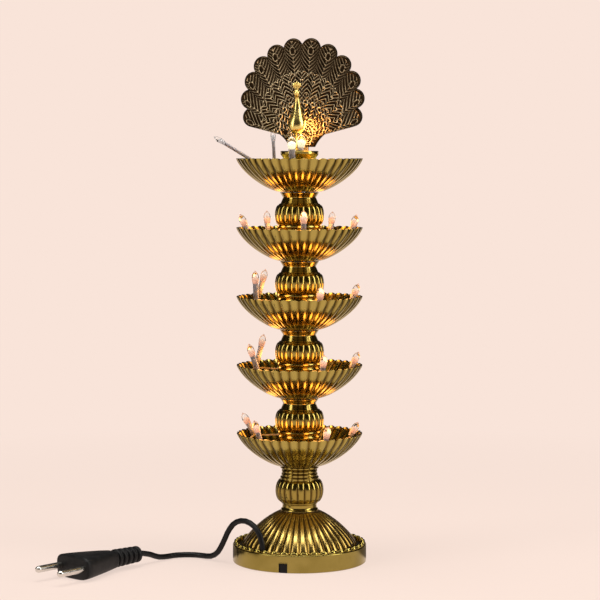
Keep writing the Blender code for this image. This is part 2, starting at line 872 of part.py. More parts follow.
def bird_rings():
    """Sections of the body, neck and head, and the height of the head's middle.

    Each row of the body gives a share of its height and a share of its width.
    """
    low = bird_foot_height + bird_body_height - bird_body_radius
    body = ((0.0, 0.30), (0.10, 0.72), (0.24, 0.97), (0.36, 1.00), (0.56, 0.92), (0.78, 0.74))
    span = bird_body_radius * 2 + bird_neck_rise * 0.4
    breast_y = bird_offset - bird_breast_forward
    head_y = bird_offset - bird_head_forward
    rings = []
    for rise, width in body:
        half = bird_body_radius * width
        rings.append(oval(low + span * rise, breast_y + bird_lean_back * rise, half, half * 1.15))
    neck_z = low + span
    head_z = low + bird_body_radius * 2 + bird_neck_rise - bird_head_radius
    rings.append(oval(neck_z, breast_y + bird_lean_back, bird_head_radius * 1.1, bird_head_radius * 1.1))
    for rise, width in ((-0.8, 0.80), (0.1, 1.00), (0.8, 0.62)):
        half = bird_head_radius * width
        rings.append(oval(head_z + bird_head_radius * rise, head_y, half, half * 1.2))
    return rings, head_z


def crest_mesh(head_z):
    """Three upright plumes on a short stalk, cut from one flat plate."""
    low = head_z
    top = head_z + bird_head_radius + crest_height
    waist = head_z + bird_head_radius + crest_height * 0.25
    notch = top - crest_height * 0.45
    tip = crest_half_width * 0.30
    right = [(tip * 1.2, low),
             (tip * 1.2, waist),
             (crest_half_width * 0.8, notch * 0.6 + waist * 0.4),
             (crest_half_width, top - crest_height * 0.18),
             (crest_half_width - tip, top - crest_height * 0.10),
             (crest_half_width * 0.5, notch),
             (tip, top - crest_height * 0.08)]
    outline = right + [(0, top)] + [(-x, z) for x, z in reversed(right)]
    y = bird_offset - bird_head_forward
    front = [(x, y - crest_thickness / 2, z) for x, z in outline]
    back = [(x, y + crest_thickness / 2, z) for x, z in outline]
    return lofted("crest", [front, back])


def peacock_body(frame):
    rings, head_z = bird_rings()
    body = lofted("peacock_body", rings)
    leg_top = bird_foot_height + bird_body_height
    legs = [cylinder_mesh("leg", bird_leg_radius, bird_foot_height / 2, leg_top, 6, (side, bird_offset))
            for side in (-bird_leg_spread, bird_leg_spread)]
    foot = cylinder_mesh("foot", bird_foot_radius, seat_gap, bird_foot_height,
                         small_steps, (0, bird_offset))
    peg = cylinder_mesh("peg", bird_peg_radius, seat_gap - socket_depth, bird_foot_height / 2,
                        small_steps, (0, bird_offset))
    shape = bmesh.new()
    bmesh.ops.create_cone(shape, cap_ends=True, segments=6, radius1=bird_head_radius * 0.5,
                          radius2=bird_head_radius * 0.08, depth=bird_head_radius * 2)
    beak = from_bmesh("beak", shape)
    beak_y = bird_offset - bird_head_forward - bird_head_radius * 1.7
    beak = moved(beak, Matrix.Rotation(math.radians(100), 4, "X"))
    beak = moved(beak, Matrix.Translation((0, beak_y, head_z)))
    mesh = join(body, *legs, foot, peg, beak, crest_mesh(head_z))
    add_object("peacock_body", smooth(mesh), gold, frame, (0, 0, pedestal_height))


def tail_outline():
    """Points (x, z, ridge) round the fan, from the tab up the right, over the lobes and down."""
    half_chord = tail_lobe_circle * math.sin(math.radians(tail_lobe_spacing / 2))
    reach = 90 + tail_lobe_spacing / 2 - math.degrees(math.acos(half_chord / tail_lobe_radius))
    first = 90 - tail_lobe_spacing * (tail_lobes - 1) / 2
    lobes = []
    for number in range(tail_lobes):
        middle = first + number * tail_lobe_spacing
        heading = math.radians(middle)
        centre = Vector((math.cos(heading), math.sin(heading))) * tail_lobe_circle
        for share in (-1, -0.5, 0, 0.5):
            turn = math.radians(middle + share * reach)
            lobes.append((centre.x + tail_lobe_radius * math.cos(turn),
                          tail_centre_height + centre.y + tail_lobe_radius * math.sin(turn),
                          math.cos(share * math.pi / 2) ** 2))
    side = Vector(lobes[0][:2])
    lobes.append((-side.x, side.y, 0.0))
    bend = Vector((side.x * 0.45, side.y))
    root = Vector((tail_root_half_width, tail_root_height))
    lower = []
    for share in (0, 0.25, 0.50, 0.75):
        point = root.lerp(bend, share).lerp(bend.lerp(side, share), share)
        lower.append((point.x, point.y, 0.0))
    tab = [(tail_tab_half_width, seat_gap - socket_depth, 0.0),
           (tail_tab_half_width, tail_root_height / 2, 0.0)]
    right = tab + lower
    left = [(-x, z, ridge) for x, z, ridge in reversed(right)]
    return right + lobes + left


def peacock_tail(frame):
    """A scalloped fan whose feathers rise to a ridge along the middle of each lobe."""
    outline = tail_outline()
    root = (0.0, tail_root_height + tail_tab_half_width)
    front_y = -tail_thickness / 2
    shape = bmesh.new()
    rows = []
    for reach in (1.0, 0.62, 0.22):
        row = []
        for x, z, ridge in outline:
            lift = tail_ridge * ridge * min(1.0, reach + 0.1)
            row.append(shape.verts.new((x * reach, front_y - lift, root[1] + (z - root[1]) * reach)))
        rows.append(row)
    back = [shape.verts.new((x, tail_thickness / 2, z)) for x, z, _ in outline]
    front_root = shape.verts.new((0, front_y, root[1]))
    back_root = shape.verts.new((0, tail_thickness / 2, root[1]))
    count = len(outline)
    for i in range(count):
        j = (i + 1) % count
        shape.faces.new((back[i], back[j], rows[0][j], rows[0][i]))
        shape.faces.new((rows[0][i], rows[0][j], rows[1][j], rows[1][i]))
        shape.faces.new((rows[1][i], rows[1][j], rows[2][j], rows[2][i]))
        shape.faces.new((rows[2][i], rows[2][j], front_root))
        shape.faces.new((back[j], back[i], back_root))
    mesh = smooth(from_bmesh("peacock_tail", shape), 30)
    add_object("peacock_tail", mesh, antique_gold, frame, (0, tail_offset, pedestal_height))


def finial():
    frame = add_empty("finial", (0, 0, pedestal_z))
    pedestal(frame)
    peacock_body(frame)
    peacock_tail(frame)
    bulb = bulb_mesh("bird_bulb", bird_bulb_height)
    add_object("bird_bulb", bulb, warm_bulb, frame, (*bird_bulb_place, pedestal_height + seat_gap))


# Mains side

def terminal_block():
    low_z = cover_thickness + seat_gap
    low = (block_place[0] - block_width / 2, block_place[1] - block_length / 2 + seat_gap, low_z)
    high = (block_place[0] + block_width / 2, block_place[1] + block_length / 2, low_z + block_height)
    block = box_mesh("terminal_block", low, high)
    item = add_object("terminal_block", block, block_plastic)
    bevel = item.modifiers.new("edges", "BEVEL")
    bevel.width = block_edge
    bevel.segments = 1
    return high


def inner_wiring():
    """The flex's end from the hole to the block, and the lead from the block up the pipe."""
    block_top = terminal_block()
    block_x, block_y = block_place
    face_y = block_y - block_length / 2
    lead_z = cover_thickness + inner_lead_height
    drop_start = cord_exit() + Vector((0, 0, ledge_underside_z))
    lead = [drop_start + Vector(step) for step in inner_lead_drop]
    lead += [Vector((block_x, face_y - inner_lead_entry * 2, lead_z)),
             Vector((block_x, face_y - inner_lead_entry, lead_z)),
             Vector((block_x, face_y, lead_z))]
    tube("inner_lead", smooth_route(lead, 10), cord_diameter / 2, black_flex, 1)
    start_z = block_top[2] + seat_gap
    low, middle, high = (start_z + bend for bend in riser_bends)
    riser = [(block_x, block_y, start_z),
             (block_x, block_y, low),
             (block_x / 3, block_y / 3, middle),
             (0, 0, high),
             (0, 0, first_bowl_z),
             (0, 0, top_floor_z)]
    tube("riser_lead", riser, riser_radius, clear_lead, 1)


def cord_route():
    """Up out of the hole, over the edge in a loop, and along the floor to the plug."""
    hole = cord_exit()
    ledge = hole + Vector((0, 0, base_wall_height))
    return [ledge + Vector(step) for step in cord_loop] + [hole + Vector(step) for step in cord_on_floor]


def mains_cord():
    tube("cord", smooth_route(cord_route(), cord_points), cord_diameter / 2, black_flex, 2)


def rounded_section(x, half_width, half_thickness, count=12):
    ring = []
    for i in range(count):
        turn = 2 * math.pi * (i + 0.5) / count
        across = math.copysign(abs(math.cos(turn)) ** 0.6, math.cos(turn))
        up = math.copysign(abs(math.sin(turn)) ** 0.6, math.sin(turn))
        ring.append((x, half_width * across, half_thickness * up))
    return ring


def plug_body(frame):
    """A flat body that widens to the pin face, moulded with its ribbed cord sleeve."""
    start = plug_sleeve_length
    shares = ((0.0, 0.0), (0.14, 0.10), (0.50, 0.52), (0.85, 0.93), (1.0, 1.0))
    rings = []
    for along, widen in shares:
        half_width = plug_neck_half_width + widen * (plug_half_width - plug_neck_half_width)
        thicken = plug_half_thickness - plug_neck_half_thickness
        half_thickness = plug_neck_half_thickness + widen ** 0.5 * thicken
        rings.append(rounded_section(start + plug_body_length * along, half_width, half_thickness))
    body = lofted("plug_body", rings)
    pitch = plug_sleeve_length / plug_ribs
    profile = [(0, start + overrun), (plug_rib_radius - plug_rib_depth, start + overrun)]
    for rib in reversed(range(plug_ribs)):
        radius = plug_rib_radius + plug_rib_flare * rib / plug_ribs
        profile += [(radius - plug_rib_depth, pitch * (rib + 0.80)),
                    (radius, pitch * (rib + 0.62)),
                    (radius, pitch * (rib + 0.12))]
    profile += [(plug_rib_radius, 0), (0, 0)]
    sleeve = moved(turned("sleeve", profile, small_steps), Matrix.Rotation(math.radians(90), 4, "Y"))
    seats = []
    for side in (-1, 1):
        seat = cylinder_mesh("pin_seat", pin_radius + seat_gap, plug_length - pin_seat - seat_gap,
                             plug_length + overrun, small_steps)
        seat = moved(seat, Matrix.Rotation(math.radians(90), 4, "Y"))
        seats.append(moved(seat, Matrix.Translation((0, side * pin_spacing / 2, 0))))
    mesh = cut(join(body, sleeve), *seats)
    add_object("plug_body", smooth(mesh), black_plastic, frame)


def plug_pin(name, side, frame):
    total = pin_seat + pin_length
    profile = [(0, total),
               (pin_radius * 0.65, total - pin_radius * 0.2),
               (pin_radius, total - pin_radius),
               (pin_radius, 0),
               (0, 0)]
    pin = moved(turned(name, profile, small_steps), Matrix.Rotation(math.radians(90), 4, "Y"))
    place = (plug_length - pin_seat, side * pin_spacing / 2, 0)
    add_object(name, smooth(pin, 50), nickel, frame, place)


def plug():
    end = cord_route()[-1]
    heading = math.radians(plug_heading)
    start = end + Vector((math.cos(heading), math.sin(heading), 0)) * seat_gap
    frame = add_empty("plug", (start.x, start.y, plug_half_thickness), heading)
    plug_body(frame)
    plug_pin("plug_pin_left", -1, frame)
    plug_pin("plug_pin_right", 1, frame)


base_shell()
bottom_cover()
pipe_fixings()
base_stem()
tiers()
finial()
inner_wiring()
mains_cord()
plug()
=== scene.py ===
"""Looks of the electric samai lamp: fine meshes, materials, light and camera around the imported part.

Metres, in the part's own frame. Angles round the lamp are in degrees from the front, turning towards +X.
"""

import math

import bmesh
import bpy
import numpy as np
from mathutils import Matrix, Vector


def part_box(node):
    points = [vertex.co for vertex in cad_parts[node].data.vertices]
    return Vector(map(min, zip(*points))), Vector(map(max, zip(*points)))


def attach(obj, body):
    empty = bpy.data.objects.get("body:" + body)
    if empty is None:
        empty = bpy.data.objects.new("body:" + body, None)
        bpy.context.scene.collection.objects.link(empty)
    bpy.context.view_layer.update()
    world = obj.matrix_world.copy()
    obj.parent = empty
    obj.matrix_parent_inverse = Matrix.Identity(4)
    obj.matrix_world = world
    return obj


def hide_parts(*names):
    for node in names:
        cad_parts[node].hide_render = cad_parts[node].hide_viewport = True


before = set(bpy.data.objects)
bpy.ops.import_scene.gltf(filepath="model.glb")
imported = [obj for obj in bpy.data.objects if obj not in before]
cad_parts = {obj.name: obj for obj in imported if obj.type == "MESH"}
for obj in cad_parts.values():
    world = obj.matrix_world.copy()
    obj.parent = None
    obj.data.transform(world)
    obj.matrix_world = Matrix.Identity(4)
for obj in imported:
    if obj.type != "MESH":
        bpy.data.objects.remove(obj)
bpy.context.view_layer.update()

# Bowls
tier_count = 5
bowl_rim_radius = 0.0380
bowl_height = 0.0200
bowl_floor = 0.0016
bowl_wall = 0.0012
bowl_foot_radius = 0.0122
bowl_fullness = 1.4
bowl_flutes = 40
bowl_flute_depth = 0.0010
bowl_flute_sharpness = 2.0
bowl_rim_dip = 0.0009
bowl_dip_from = 0.70
pipe_hole_radius = 0.0052

# Stems between the bowls
stem_foot_radius = 0.0118
stem_foot_height = 0.0196
stem_ball_radius = 0.0148
stem_ball_height = 0.0120
stem_shoulder_radius = 0.0125
stem_neck_radius = 0.0100
stem_collar_radius = 0.0117
stem_height = 0.0391
stem_hollow_radius = 0.0100
stem_flutes = 20
stem_flute_depth = 0.0010
stem_flute_sharpness = 2.4
# Beads under the ball: rise over the foot's radius and depth below the ball
stem_foot_beads = ((0.0, 0.0052), (0.0008, 0.0046), (0.0008, 0.0032), (0.0001, 0.0026), (0.0012, 0.0018),
                   (0.0012, 0.0002))

# Base stem
base_stem_height = 0.0268
base_stem_neck_radius = 0.0106
base_stem_ball_low = 0.0051
base_stem_ball_height = 0.0140
base_stem_ball_radius = 0.0146
# Rings above the ball: height over it and radius
base_stem_rings = ((0.0000, 0.0117), (0.0020, 0.0110), (0.0040, 0.0108))
base_stem_ring_height = 0.0016
ring_edge = 0.0002
ring_groove = 0.0009

# Small edges and the points of outlines beside the axis
edge_fillet = 0.0005
near_axis = 0.0001

# Base
base_radius = 0.0404
base_wall_height = 0.0104
base_height = 0.0306
base_wall = 0.0018
base_seat_radius = 0.0112
dome_foot_radius = 0.0346
dome_fullness = 1.28
dome_rows = 26
dome_flutes = 40
dome_flute_depth = 0.0011
dome_flute_sharpness = 2.6
dome_flute_fade = 0.0012
# Share of the dome's tone kept at its foot: painted shade
dome_foot_painted_shade = 0.45
bead_circle = 0.0384
bead_half_length = 0.0027
bead_half_width = 0.0016
bead_rise = 0.0016
bead_steps = 20
# Shares of a bead's size and of its rise, from its edge inwards
bead_outline = ((1.0, 0.0), (0.96, 0.45), (0.84, 0.88), (0.70, 1.0), (0.56, 0.86), (0.44, 0.50), (0.02, 0.42))
notch_width = 0.0052
notch_height = 0.0056

# Bulbs: angle round the bowl, outward lean, rise above the rim
bulb_radius = 0.0021
bulb_length = 0.0090
sleeve_radius = 0.0016
thin_sleeve_radius = 0.0010
thin_bulb_radius = 0.0015
sleeve_foot_depth = 0.0030
bulb_places = (
    ((43, 20, 0.0085), (113, 30, 0.0070), (185, 20, 0.0110), (257, 33, 0.0120), (326, 20, 0.0115)),
    ((39, 15, 0.0095), (110, 25, 0.0085), (181, 20, 0.0110), (249, -16, 0.0180), (322, 21, 0.0160)),
    ((36, 10, 0.0080), (104, 22, 0.0085), (177, 20, 0.0110), (246, -19, 0.0165), (320, 2, 0.0165)),
    ((18, 10, 0.0115), (97, 16, 0.0085), (157, 10, 0.0092), (232, 4, 0.0095), (297, 25, 0.0095)),
    ((6, 10, 0.0135), (223, 6, 0.0180), (306, 60, 0.0260)),
)
bird_bulb_height = 0.0098
bird_bulb_radius = 0.0026
front_bulb_radius = 0.0025
front_sleeve_radius = 0.0019

# Pedestal: steps off the post's radius, with heights for its foot and depths from above for its top
pedestal_rim = 0.0016
pedestal_wall = 0.0012
pedestal_foot = ((0.0, 0.0), (0.0, 0.0020), (-0.0006, 0.0026))
pedestal_top = ((-0.0006, 0.0050), (0.0, 0.0042), (pedestal_rim, 0.0020), (pedestal_rim, 0.0))
# Hollow in its upper face: radius and depth
pedestal_cup = ((0.0060, 0.0), (0.0060, 0.0010), (0.0010, 0.0010), (0.0010, 0.0060))
pedestal_ceiling_depth = 0.0075

# Peacock tail, measured from the top of the pedestal
tail_plane = 0.0070
tail_thickness = 0.0024
tail_relief = 0.0010
tail_centre_height = 0.0295
tail_lobes = 12
tail_lobe_spacing = 19.4
tail_lobe_circle = 0.0321
tail_lobe_radius = 0.0058
tail_root_half_width = 0.0075
tail_root_height = 0.0026
tail_tab_half_width = 0.0038
tail_tab_depth = 0.0032
tail_rim_width = 0.0013
tail_hole_place = (-0.0102, 0.0111)
tail_hole_radius = 0.0016
tail_rows = 210
tail_rim_tone = 0.12
tail_back_tone = 0.25
tail_tab_tone = 0.70

# Feathers of the tail: where the tips of each row lie on the way from the root to the rim
feather_rows = (0.26, 0.48, 0.71)
feather_tip_drop = 0.10
barb_pitch = 0.0024
barb_slope = 1.25
barb_half_width = 0.00021
spine_half_width = 0.00022
eye_radius = 0.0011
eye_ring_half_width = 0.00026
lobe_eye_place = 0.885
lobe_eye_length = 0.0021
lobe_eye_width = 0.0011
feather_tip_inset = 0.0005
feather_tip_half_width = 0.0003
barb_tone = 0.85
spine_tone = 0.60
feather_tip_tone = 0.80
lobe_eye_tone = 0.75

# Peacock body: height, forward place, half width and half depth of its sections
bird_sections = (
    (0.0103, -0.0070, 0.0012, 0.0012),
    (0.0109, -0.0070, 0.0029, 0.0030),
    (0.0126, -0.0069, 0.0042, 0.0044),
    (0.0154, -0.0065, 0.0048, 0.0050),
    (0.0186, -0.0061, 0.0044, 0.0046),
    (0.0220, -0.0056, 0.0035, 0.0036),
    (0.0252, -0.0053, 0.0025, 0.0025),
    (0.0282, -0.0054, 0.0018, 0.0018),
    (0.0312, -0.0060, 0.0013, 0.0013),
    (0.0331, -0.0068, 0.0016, 0.0019),
    (0.0346, -0.0068, 0.0019, 0.0022),
    (0.0358, -0.0068, 0.0012, 0.0015),
    (0.0362, -0.0068, 0.0003, 0.0003),
)
bird_offset = -0.0034
bird_head_height = 0.0343
bird_head_forward = 0.0068
bird_neck_height = 0.0252
bird_foot_radius = 0.0030
bird_foot_height = 0.0012
bird_leg_radius = 0.0008
bird_leg_spread = 0.0013
bird_leg_top = 0.0135
crest_low = 0.0352
crest_high = 0.0411
crest_half_width = 0.0023
# Plumes of the crest: share of its half width and lean to the back
crest_plumes = ((-1, 0), (-0.5, -0.0004), (0, 0.0002), (0.5, -0.0004), (1, 0))
plume_stalk_radius = 0.00025
plume_leaf_swell = 0.00055
wing_rise = 0.0005
wing_place = 0.42
wing_spread = 0.22
scale_rise = 0.00012
scale_rows = 9
scale_columns = 10
# Beak: places ahead of the head and above its middle, and its radius at each
beak_route = ((0.0014, 0.0004), (0.0030, 0.0000), (0.0040, -0.0007))
beak_radii = (0.0009, 0.0006, 0.0001)
bird_eye_outline = ((0.00001, 0.0003), (0.0003, 0.00015), (0.0004, -0.0002), (0.00001, -0.0003))
bird_eye_side = 0.0016
bird_eye_forward = 0.0009
bird_eye_rise = 0.0008

# Mains flex, as in the part
cord_diameter = 0.0034
cord_exit = (-0.01448, -0.03252, 0.0090)
cord_steps = (
    (0.0000, 0.0000, 0.0090),
    (0.0000, 0.0000, 0.0125),
    (-0.0017, 0.0009, 0.0199),
    (-0.0065, 0.0034, 0.0253),
    (-0.0131, 0.0068, 0.0273),
    (-0.0197, 0.0102, 0.0253),
    (-0.0245, 0.0127, 0.0199),
    (-0.0283, 0.0147, 0.0125),
    (-0.0325, 0.0168, 0.0056),
    (-0.0369, 0.0191, 0.0026),
    (-0.0414, 0.0215, 0.0018),
    (-0.0464, 0.0231, 0.0018),
    (-0.0517, 0.0232, 0.0018),
    (-0.0568, 0.0216, 0.0018),
    (-0.0611, 0.0186, 0.0018),
    (-0.0642, 0.0144, 0.0018),
    (-0.0675, 0.0082, 0.0026),
    (-0.0708, 0.0020, 0.0052),
    (-0.0741, -0.0042, 0.0069),
    (-0.0755, -0.0068, 0.0070),
)
cord_points = 34
cord_in_plug = 0.0080
cord_hole_clearance = 0.0004
cord_hole_span = (0.0050, 0.0150)

# Plug, along its axis from the cord end
plug_heading = 242
plug_start_gap = 0.0003
plug_sleeve_length = 0.0200
plug_ribs = 5
plug_rib_radius = 0.0049
plug_rib_flare = 0.0007
plug_rib_depth = 0.0013
plug_body_length = 0.0320
plug_neck_half_width = 0.0056
plug_half_width = 0.0139
plug_neck_half_thickness = 0.0048
plug_half_thickness = 0.0070
plug_squareness = 0.55
plug_section_steps = 48
# Plug body: share of its length and of its widening, then inset and distance from its end
plug_widening = ((0.0, 0.0), (0.14, 0.10), (0.50, 0.52), (0.85, 0.93), (0.975, 1.0))
plug_end_rounding = ((0.0002, 0.0005), (0.0007, 0.0001), (0.0014, 0.0))
pin_radius = 0.0020
pin_spacing = 0.0190
pin_length = 0.0190
pin_seat = 0.0080

# Camera
camera_distance = 1.2
camera_turn = 14
camera_height = 0.244
camera_pitch = 4.09
camera_lens = 120
camera_shift = 0.0008

# Surround, light and its colours
surround_radius = 3.0
shadow_reach = (0.12, 0.60)
shadow_share = 0.24
pale_peach = (0.947, 0.775, 0.694)
studio_dark = (0.030, 0.026, 0.022)
dark_from = (0.00, 0.12)
ambient = 0.20
gap_turn = 120
gap_half_width = 17
gap_soft_width = 8
gap_colour = (0.030, 0.024, 0.016)
lamp_colour = (1.0, 0.97, 0.92)
bulb_colour = (1.0, 0.47, 0.13)

# Lights: name, angle from the camera, elevation, size and power
light_distance = 1.0
light_target_height = 0.15
area_lights = (
    ("overhead", 0, 86, (0.9, 0.6), 11.3),
    ("right", 68, 24, (0.35, 0.9), 5.0),
    ("left", -62, 26, (0.30, 0.8), 3.0),
)
bulb_light_circle = 0.026
bulb_light_rise = 0.003
bulb_light_radius = 0.0050
bulb_light_power = 0.0068
# Lights at the bird: name, place from the middle of the pedestal's top and power
bird_lights = (
    ("bird_light", (0.0062, -0.0010, 0.0150), 0.015),
    ("bird_foot_light", (0.0066, -0.0045, 0.0065), 0.008),
)


# Mesh steps

def around(radius, degrees, z=0.0):
    """A point at a radius and an angle from the front."""
    angle = math.radians(degrees)
    return Vector((radius * math.sin(angle), -radius * math.cos(angle), z))


def skin(name, rows, closed=False, caps=False):
    """A smooth mesh over rows of points, each row a ring; closed joins the last row to the first."""
    rows = np.asarray(rows, float)
    row_count, count, _ = rows.shape
    index = np.arange(row_count * count).reshape(row_count, count)
    ahead = np.roll(index, -1, axis=1)
    if closed:
        upper = np.roll(index, -1, axis=0)
        upper_ahead = np.roll(ahead, -1, axis=0)
    else:
        upper, upper_ahead = index[1:], ahead[1:]
        index, ahead = index[:-1], ahead[:-1]
    faces = np.stack([index, ahead, upper_ahead, upper], axis=-1).reshape(-1, 4).tolist()
    if caps:
        faces.append(list(range(count)))
        faces.append(list(range((row_count - 1) * count, row_count * count)))
    mesh = bpy.data.meshes.new(name)
    mesh.from_pydata(rows.reshape(-1, 3).tolist(), [], faces)
    return outward(mesh)


def outward(mesh):
    """Turn every face outwards and shade it smooth."""
    shape = bmesh.new()
    shape.from_mesh(mesh)
    bmesh.ops.recalc_face_normals(shape, faces=shape.faces)
    shape.to_mesh(mesh)
    shape.free()
    mesh.shade_smooth()
    return mesh


def turned(name, outline, steps, shape=None, closed=False, caps=False):
    """An outline of (radius, z) turned about Z; shape(radius, z, angle) may move its points."""
    outline = np.array([tuple(point) for point in outline])
    angle = 2 * np.pi * np.arange(steps)[None, :] / steps
    radius = outline[:, 0][:, None] + 0 * angle
    height = outline[:, 1][:, None] + 0 * angle
    if shape:
        radius, height = shape(radius, height, angle)
    rows = np.stack([radius * np.sin(angle), -radius * np.cos(angle), height], axis=-1)
    return skin(name, rows, closed, caps)


def filleted(points, radius, steps=4):
    """The outline with its inner corners rounded."""
    points = [Vector(point) for point in points]
    result = [points[0]]
    for before, corner, after in zip(points, points[1:], points[2:]):
        start = corner.lerp(before, min(0.48, radius / (before - corner).length))
        end = corner.lerp(after, min(0.48, radius / (after - corner).length))
        for step in range(steps + 1):
            share = step / steps
            result.append(start.lerp(corner, share).lerp(corner.lerp(end, share), share))
    result.append(points[-1])
    return result


def smooth_route(points, count):
    """Evenly spaced points on a smooth curve through the given points."""
    route = [Vector(point) for point in points]
    ends = [route[0] * 2 - route[1]] + route + [route[-1] * 2 - route[-2]]
    dense = []
    steps = 20
    for a, b, c, d in zip(ends, ends[1:], ends[2:], ends[3:]):
        for step in range(steps):
            t = step / steps
            bend = (2 * a - 5 * b + 4 * c - d) + t * (3 * (b - c) + d - a)
            dense.append(b + 0.5 * t * ((c - a) + t * bend))
    dense.append(route[-1])
    lengths = [(after - before).length for before, after in zip(dense, dense[1:])]
    travelled = np.concatenate([[0], np.cumsum(lengths)])
    wanted = np.linspace(0, travelled[-1], count)
    columns = [np.interp(wanted, travelled, column) for column in zip(*dense)]
    return [Vector(point) for point in zip(*columns)]


def swell(inner_radius, outer_radius, flat_z, steep_z, fullness, degrees):
    """A point on a quarter swell that lies flat at flat_z and stands steep at steep_z."""
    turn = math.radians(degrees)
    bend = 2 / fullness
    radius = inner_radius + (outer_radius - inner_radius) * max(math.sin(turn), 0) ** bend
    z = steep_z + (flat_z - steep_z) * max(math.cos(turn), 0) ** bend
    return radius, z


def lobe_side(angle, count):
    """0 in the middle of each lobe round a turned piece and 1 in the groove beside it."""
    turn = angle * count / (2 * np.pi) + 0.5
    return np.abs(turn % 1 - 0.5) * 2


def joined(name, meshes):
    """One mesh of several; each keeps the material slots it has, in the order they first come."""
    shape = bmesh.new()
    materials = []
    for mesh in meshes:
        slots = []
        for material in mesh.materials:
            if material not in materials:
                materials.append(material)
            slots.append(materials.index(material))
        first = len(shape.faces)
        shape.from_mesh(mesh)
        shape.faces.ensure_lookup_table()
        for face in shape.faces[first:]:
            face.material_index = slots[face.material_index] if slots else 0
    result = bpy.data.meshes.new(name)
    shape.to_mesh(result)
    shape.free()
    for material in materials:
        result.materials.append(material)
    return result


def moved(mesh, matrix):
    mesh.transform(matrix)
    return mesh


def tube_rows(points, radii, steps):
    """Rings round a route, with one radius for each of its points."""
    rows = []
    side = None
    for i, point in enumerate(points):
        ahead = (points[min(i + 1, len(points) - 1)] - points[max(i - 1, 0)]).normalized()
        if side is None:
            side = ahead.orthogonal().normalized()
        side = (side - ahead * side.dot(ahead)).normalized()
        other = ahead.cross(side)
        turns = [2 * math.pi * k / steps for k in range(steps)]
        rows.append([point + (side * math.cos(t) + other * math.sin(t)) * radii[i] for t in turns])
    return rows


def painted(mesh, *materials):
    for material in materials:
        mesh.materials.append(material)
    return mesh


def in_scene(name, data):
    """A new object in the scene."""
    item = bpy.data.objects.new(name, data)
    bpy.context.scene.collection.objects.link(item)
    return item


def add_piece(name, mesh, body, node=None, place=None):
    """A new piece in the scene that rides on a body and, where a node is named, stands for it."""
    piece = in_scene(name, mesh)
    if place is not None:
        piece.matrix_world = place
    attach(piece, body)
    if node:
        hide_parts(node)
    return piece


# Materials

def shader_of(material):
    return material.node_tree.nodes["Principled BSDF"]


def new_material(name):
    material = bpy.data.materials.new(name)
    material.use_nodes = True
    return material


def add_node(material, kind, **values):
    """A node with its input values set by name."""
    node = material.node_tree.nodes.new(kind)
    for key, value in values.items():
        node.inputs[key.replace("_", " ")].default_value = value
    return node


def link(material, source, target):
    material.node_tree.links.new(source, target)


def noise(material, scale, detail=3.0):
    place = add_node(material, "ShaderNodeTexCoord")
    texture = add_node(material, "ShaderNodeTexNoise", Scale=scale, Detail=detail)
    link(material, place.outputs["Object"], texture.inputs["Vector"])
    return texture.outputs["Fac"]


def ramp(material, source, stops):
    """A colour ramp over a value, with stops of (place, colour)."""
    node = add_node(material, "ShaderNodeValToRGB")
    elements = node.color_ramp.elements
    while len(elements) < len(stops):
        elements.new(0.5)
    for element, (place, colour) in zip(elements, stops):
        element.position = place
        element.color = (*colour, 1)
    link(material, source, node.inputs["Fac"])
    return node.outputs["Color"]


def calculated(material, operation, *values):
    """The result of a math node; each value is a number or the output of another node."""
    node = add_node(material, "ShaderNodeMath")
    node.operation = operation
    for socket, value in zip(node.inputs, values):
        if isinstance(value, float):
            socket.default_value = value
        else:
            link(material, value, socket)
    return node.outputs["Value"]


def mixed(material, share, source, colour):
    """The source's colour, turned into the given one by a share."""
    node = add_node(material, "ShaderNodeMixRGB", Color2=(*colour, 1))
    link(material, share, node.inputs["Fac"])
    link(material, source, node.inputs["Color1"])
    return node.outputs["Color"]


def spread(material, source, low, high, start=0.0, end=1.0):
    """A value from start to end spread between two others."""
    node = add_node(material, "ShaderNodeMapRange", From_Min=start, From_Max=end, To_Min=low, To_Max=high)
    link(material, source, node.inputs["Value"])
    return node.outputs["Result"]


def bump(material, source, strength, distance):
    node = add_node(material, "ShaderNodeBump", Strength=strength, Distance=distance)
    link(material, source, node.inputs["Height"])
    link(material, node.outputs["Normal"], shader_of(material).inputs["Normal"])


def worn(name, colours, roughness, metallic, scale, bump_strength, bump_scale):
    """A surface with mottled colour, uneven gloss and a faint uneven skin."""
    material = new_material(name)
    shader = shader_of(material)
    shader.inputs["Metallic"].default_value = metallic
    stops = [(0.35, colours[0]), (0.65, colours[1])]
    link(material, ramp(material, noise(material, scale), stops), shader.inputs["Base Color"])
    link(material, spread(material, noise(material, scale * 4), *roughness), shader.inputs["Roughness"])
    bump(material, noise(material, bump_scale, 2.0), bump_strength, 0.0002)
    return material


def relief_gold(name, dark, bright, roughness, stops=(0.30, 1.10)):
    """Gold darkened in the low parts of the relief that the mesh carries: painted shade."""
    material = new_material(name)
    shader = shader_of(material)
    shader.inputs["Metallic"].default_value = 1.0
    mottled = calculated(material, "MULTIPLY_ADD", noise(material, 160), 0.30, stored(material))
    colour = ramp(material, mottled, [(stops[0], dark), (stops[1], bright)])
    link(material, colour, shader.inputs["Base Color"])
    link(material, spread(material, noise(material, 500), *roughness), shader.inputs["Roughness"])
    bump(material, noise(material, 900, 2.0), 0.10, 0.0001)
    return material


def stored(material):
    """The value from 0 to 1 that a mesh keeps at each of its points."""
    node = add_node(material, "ShaderNodeAttribute")
    node.attribute_name = "relief"
    return node.outputs["Fac"]


def glass(name, tint):
    material = new_material(name)
    shader = shader_of(material)
    shader.inputs["Transmission Weight"].default_value = 1.0
    shader.inputs["IOR"].default_value = 1.42
    stops = [(0.4, tint), (0.6, (0.97, 0.97, 0.96))]
    link(material, ramp(material, noise(material, 400), stops), shader.inputs["Base Color"])
    link(material, spread(material, noise(material, 900), 0.02, 0.10), shader.inputs["Roughness"])
    return material


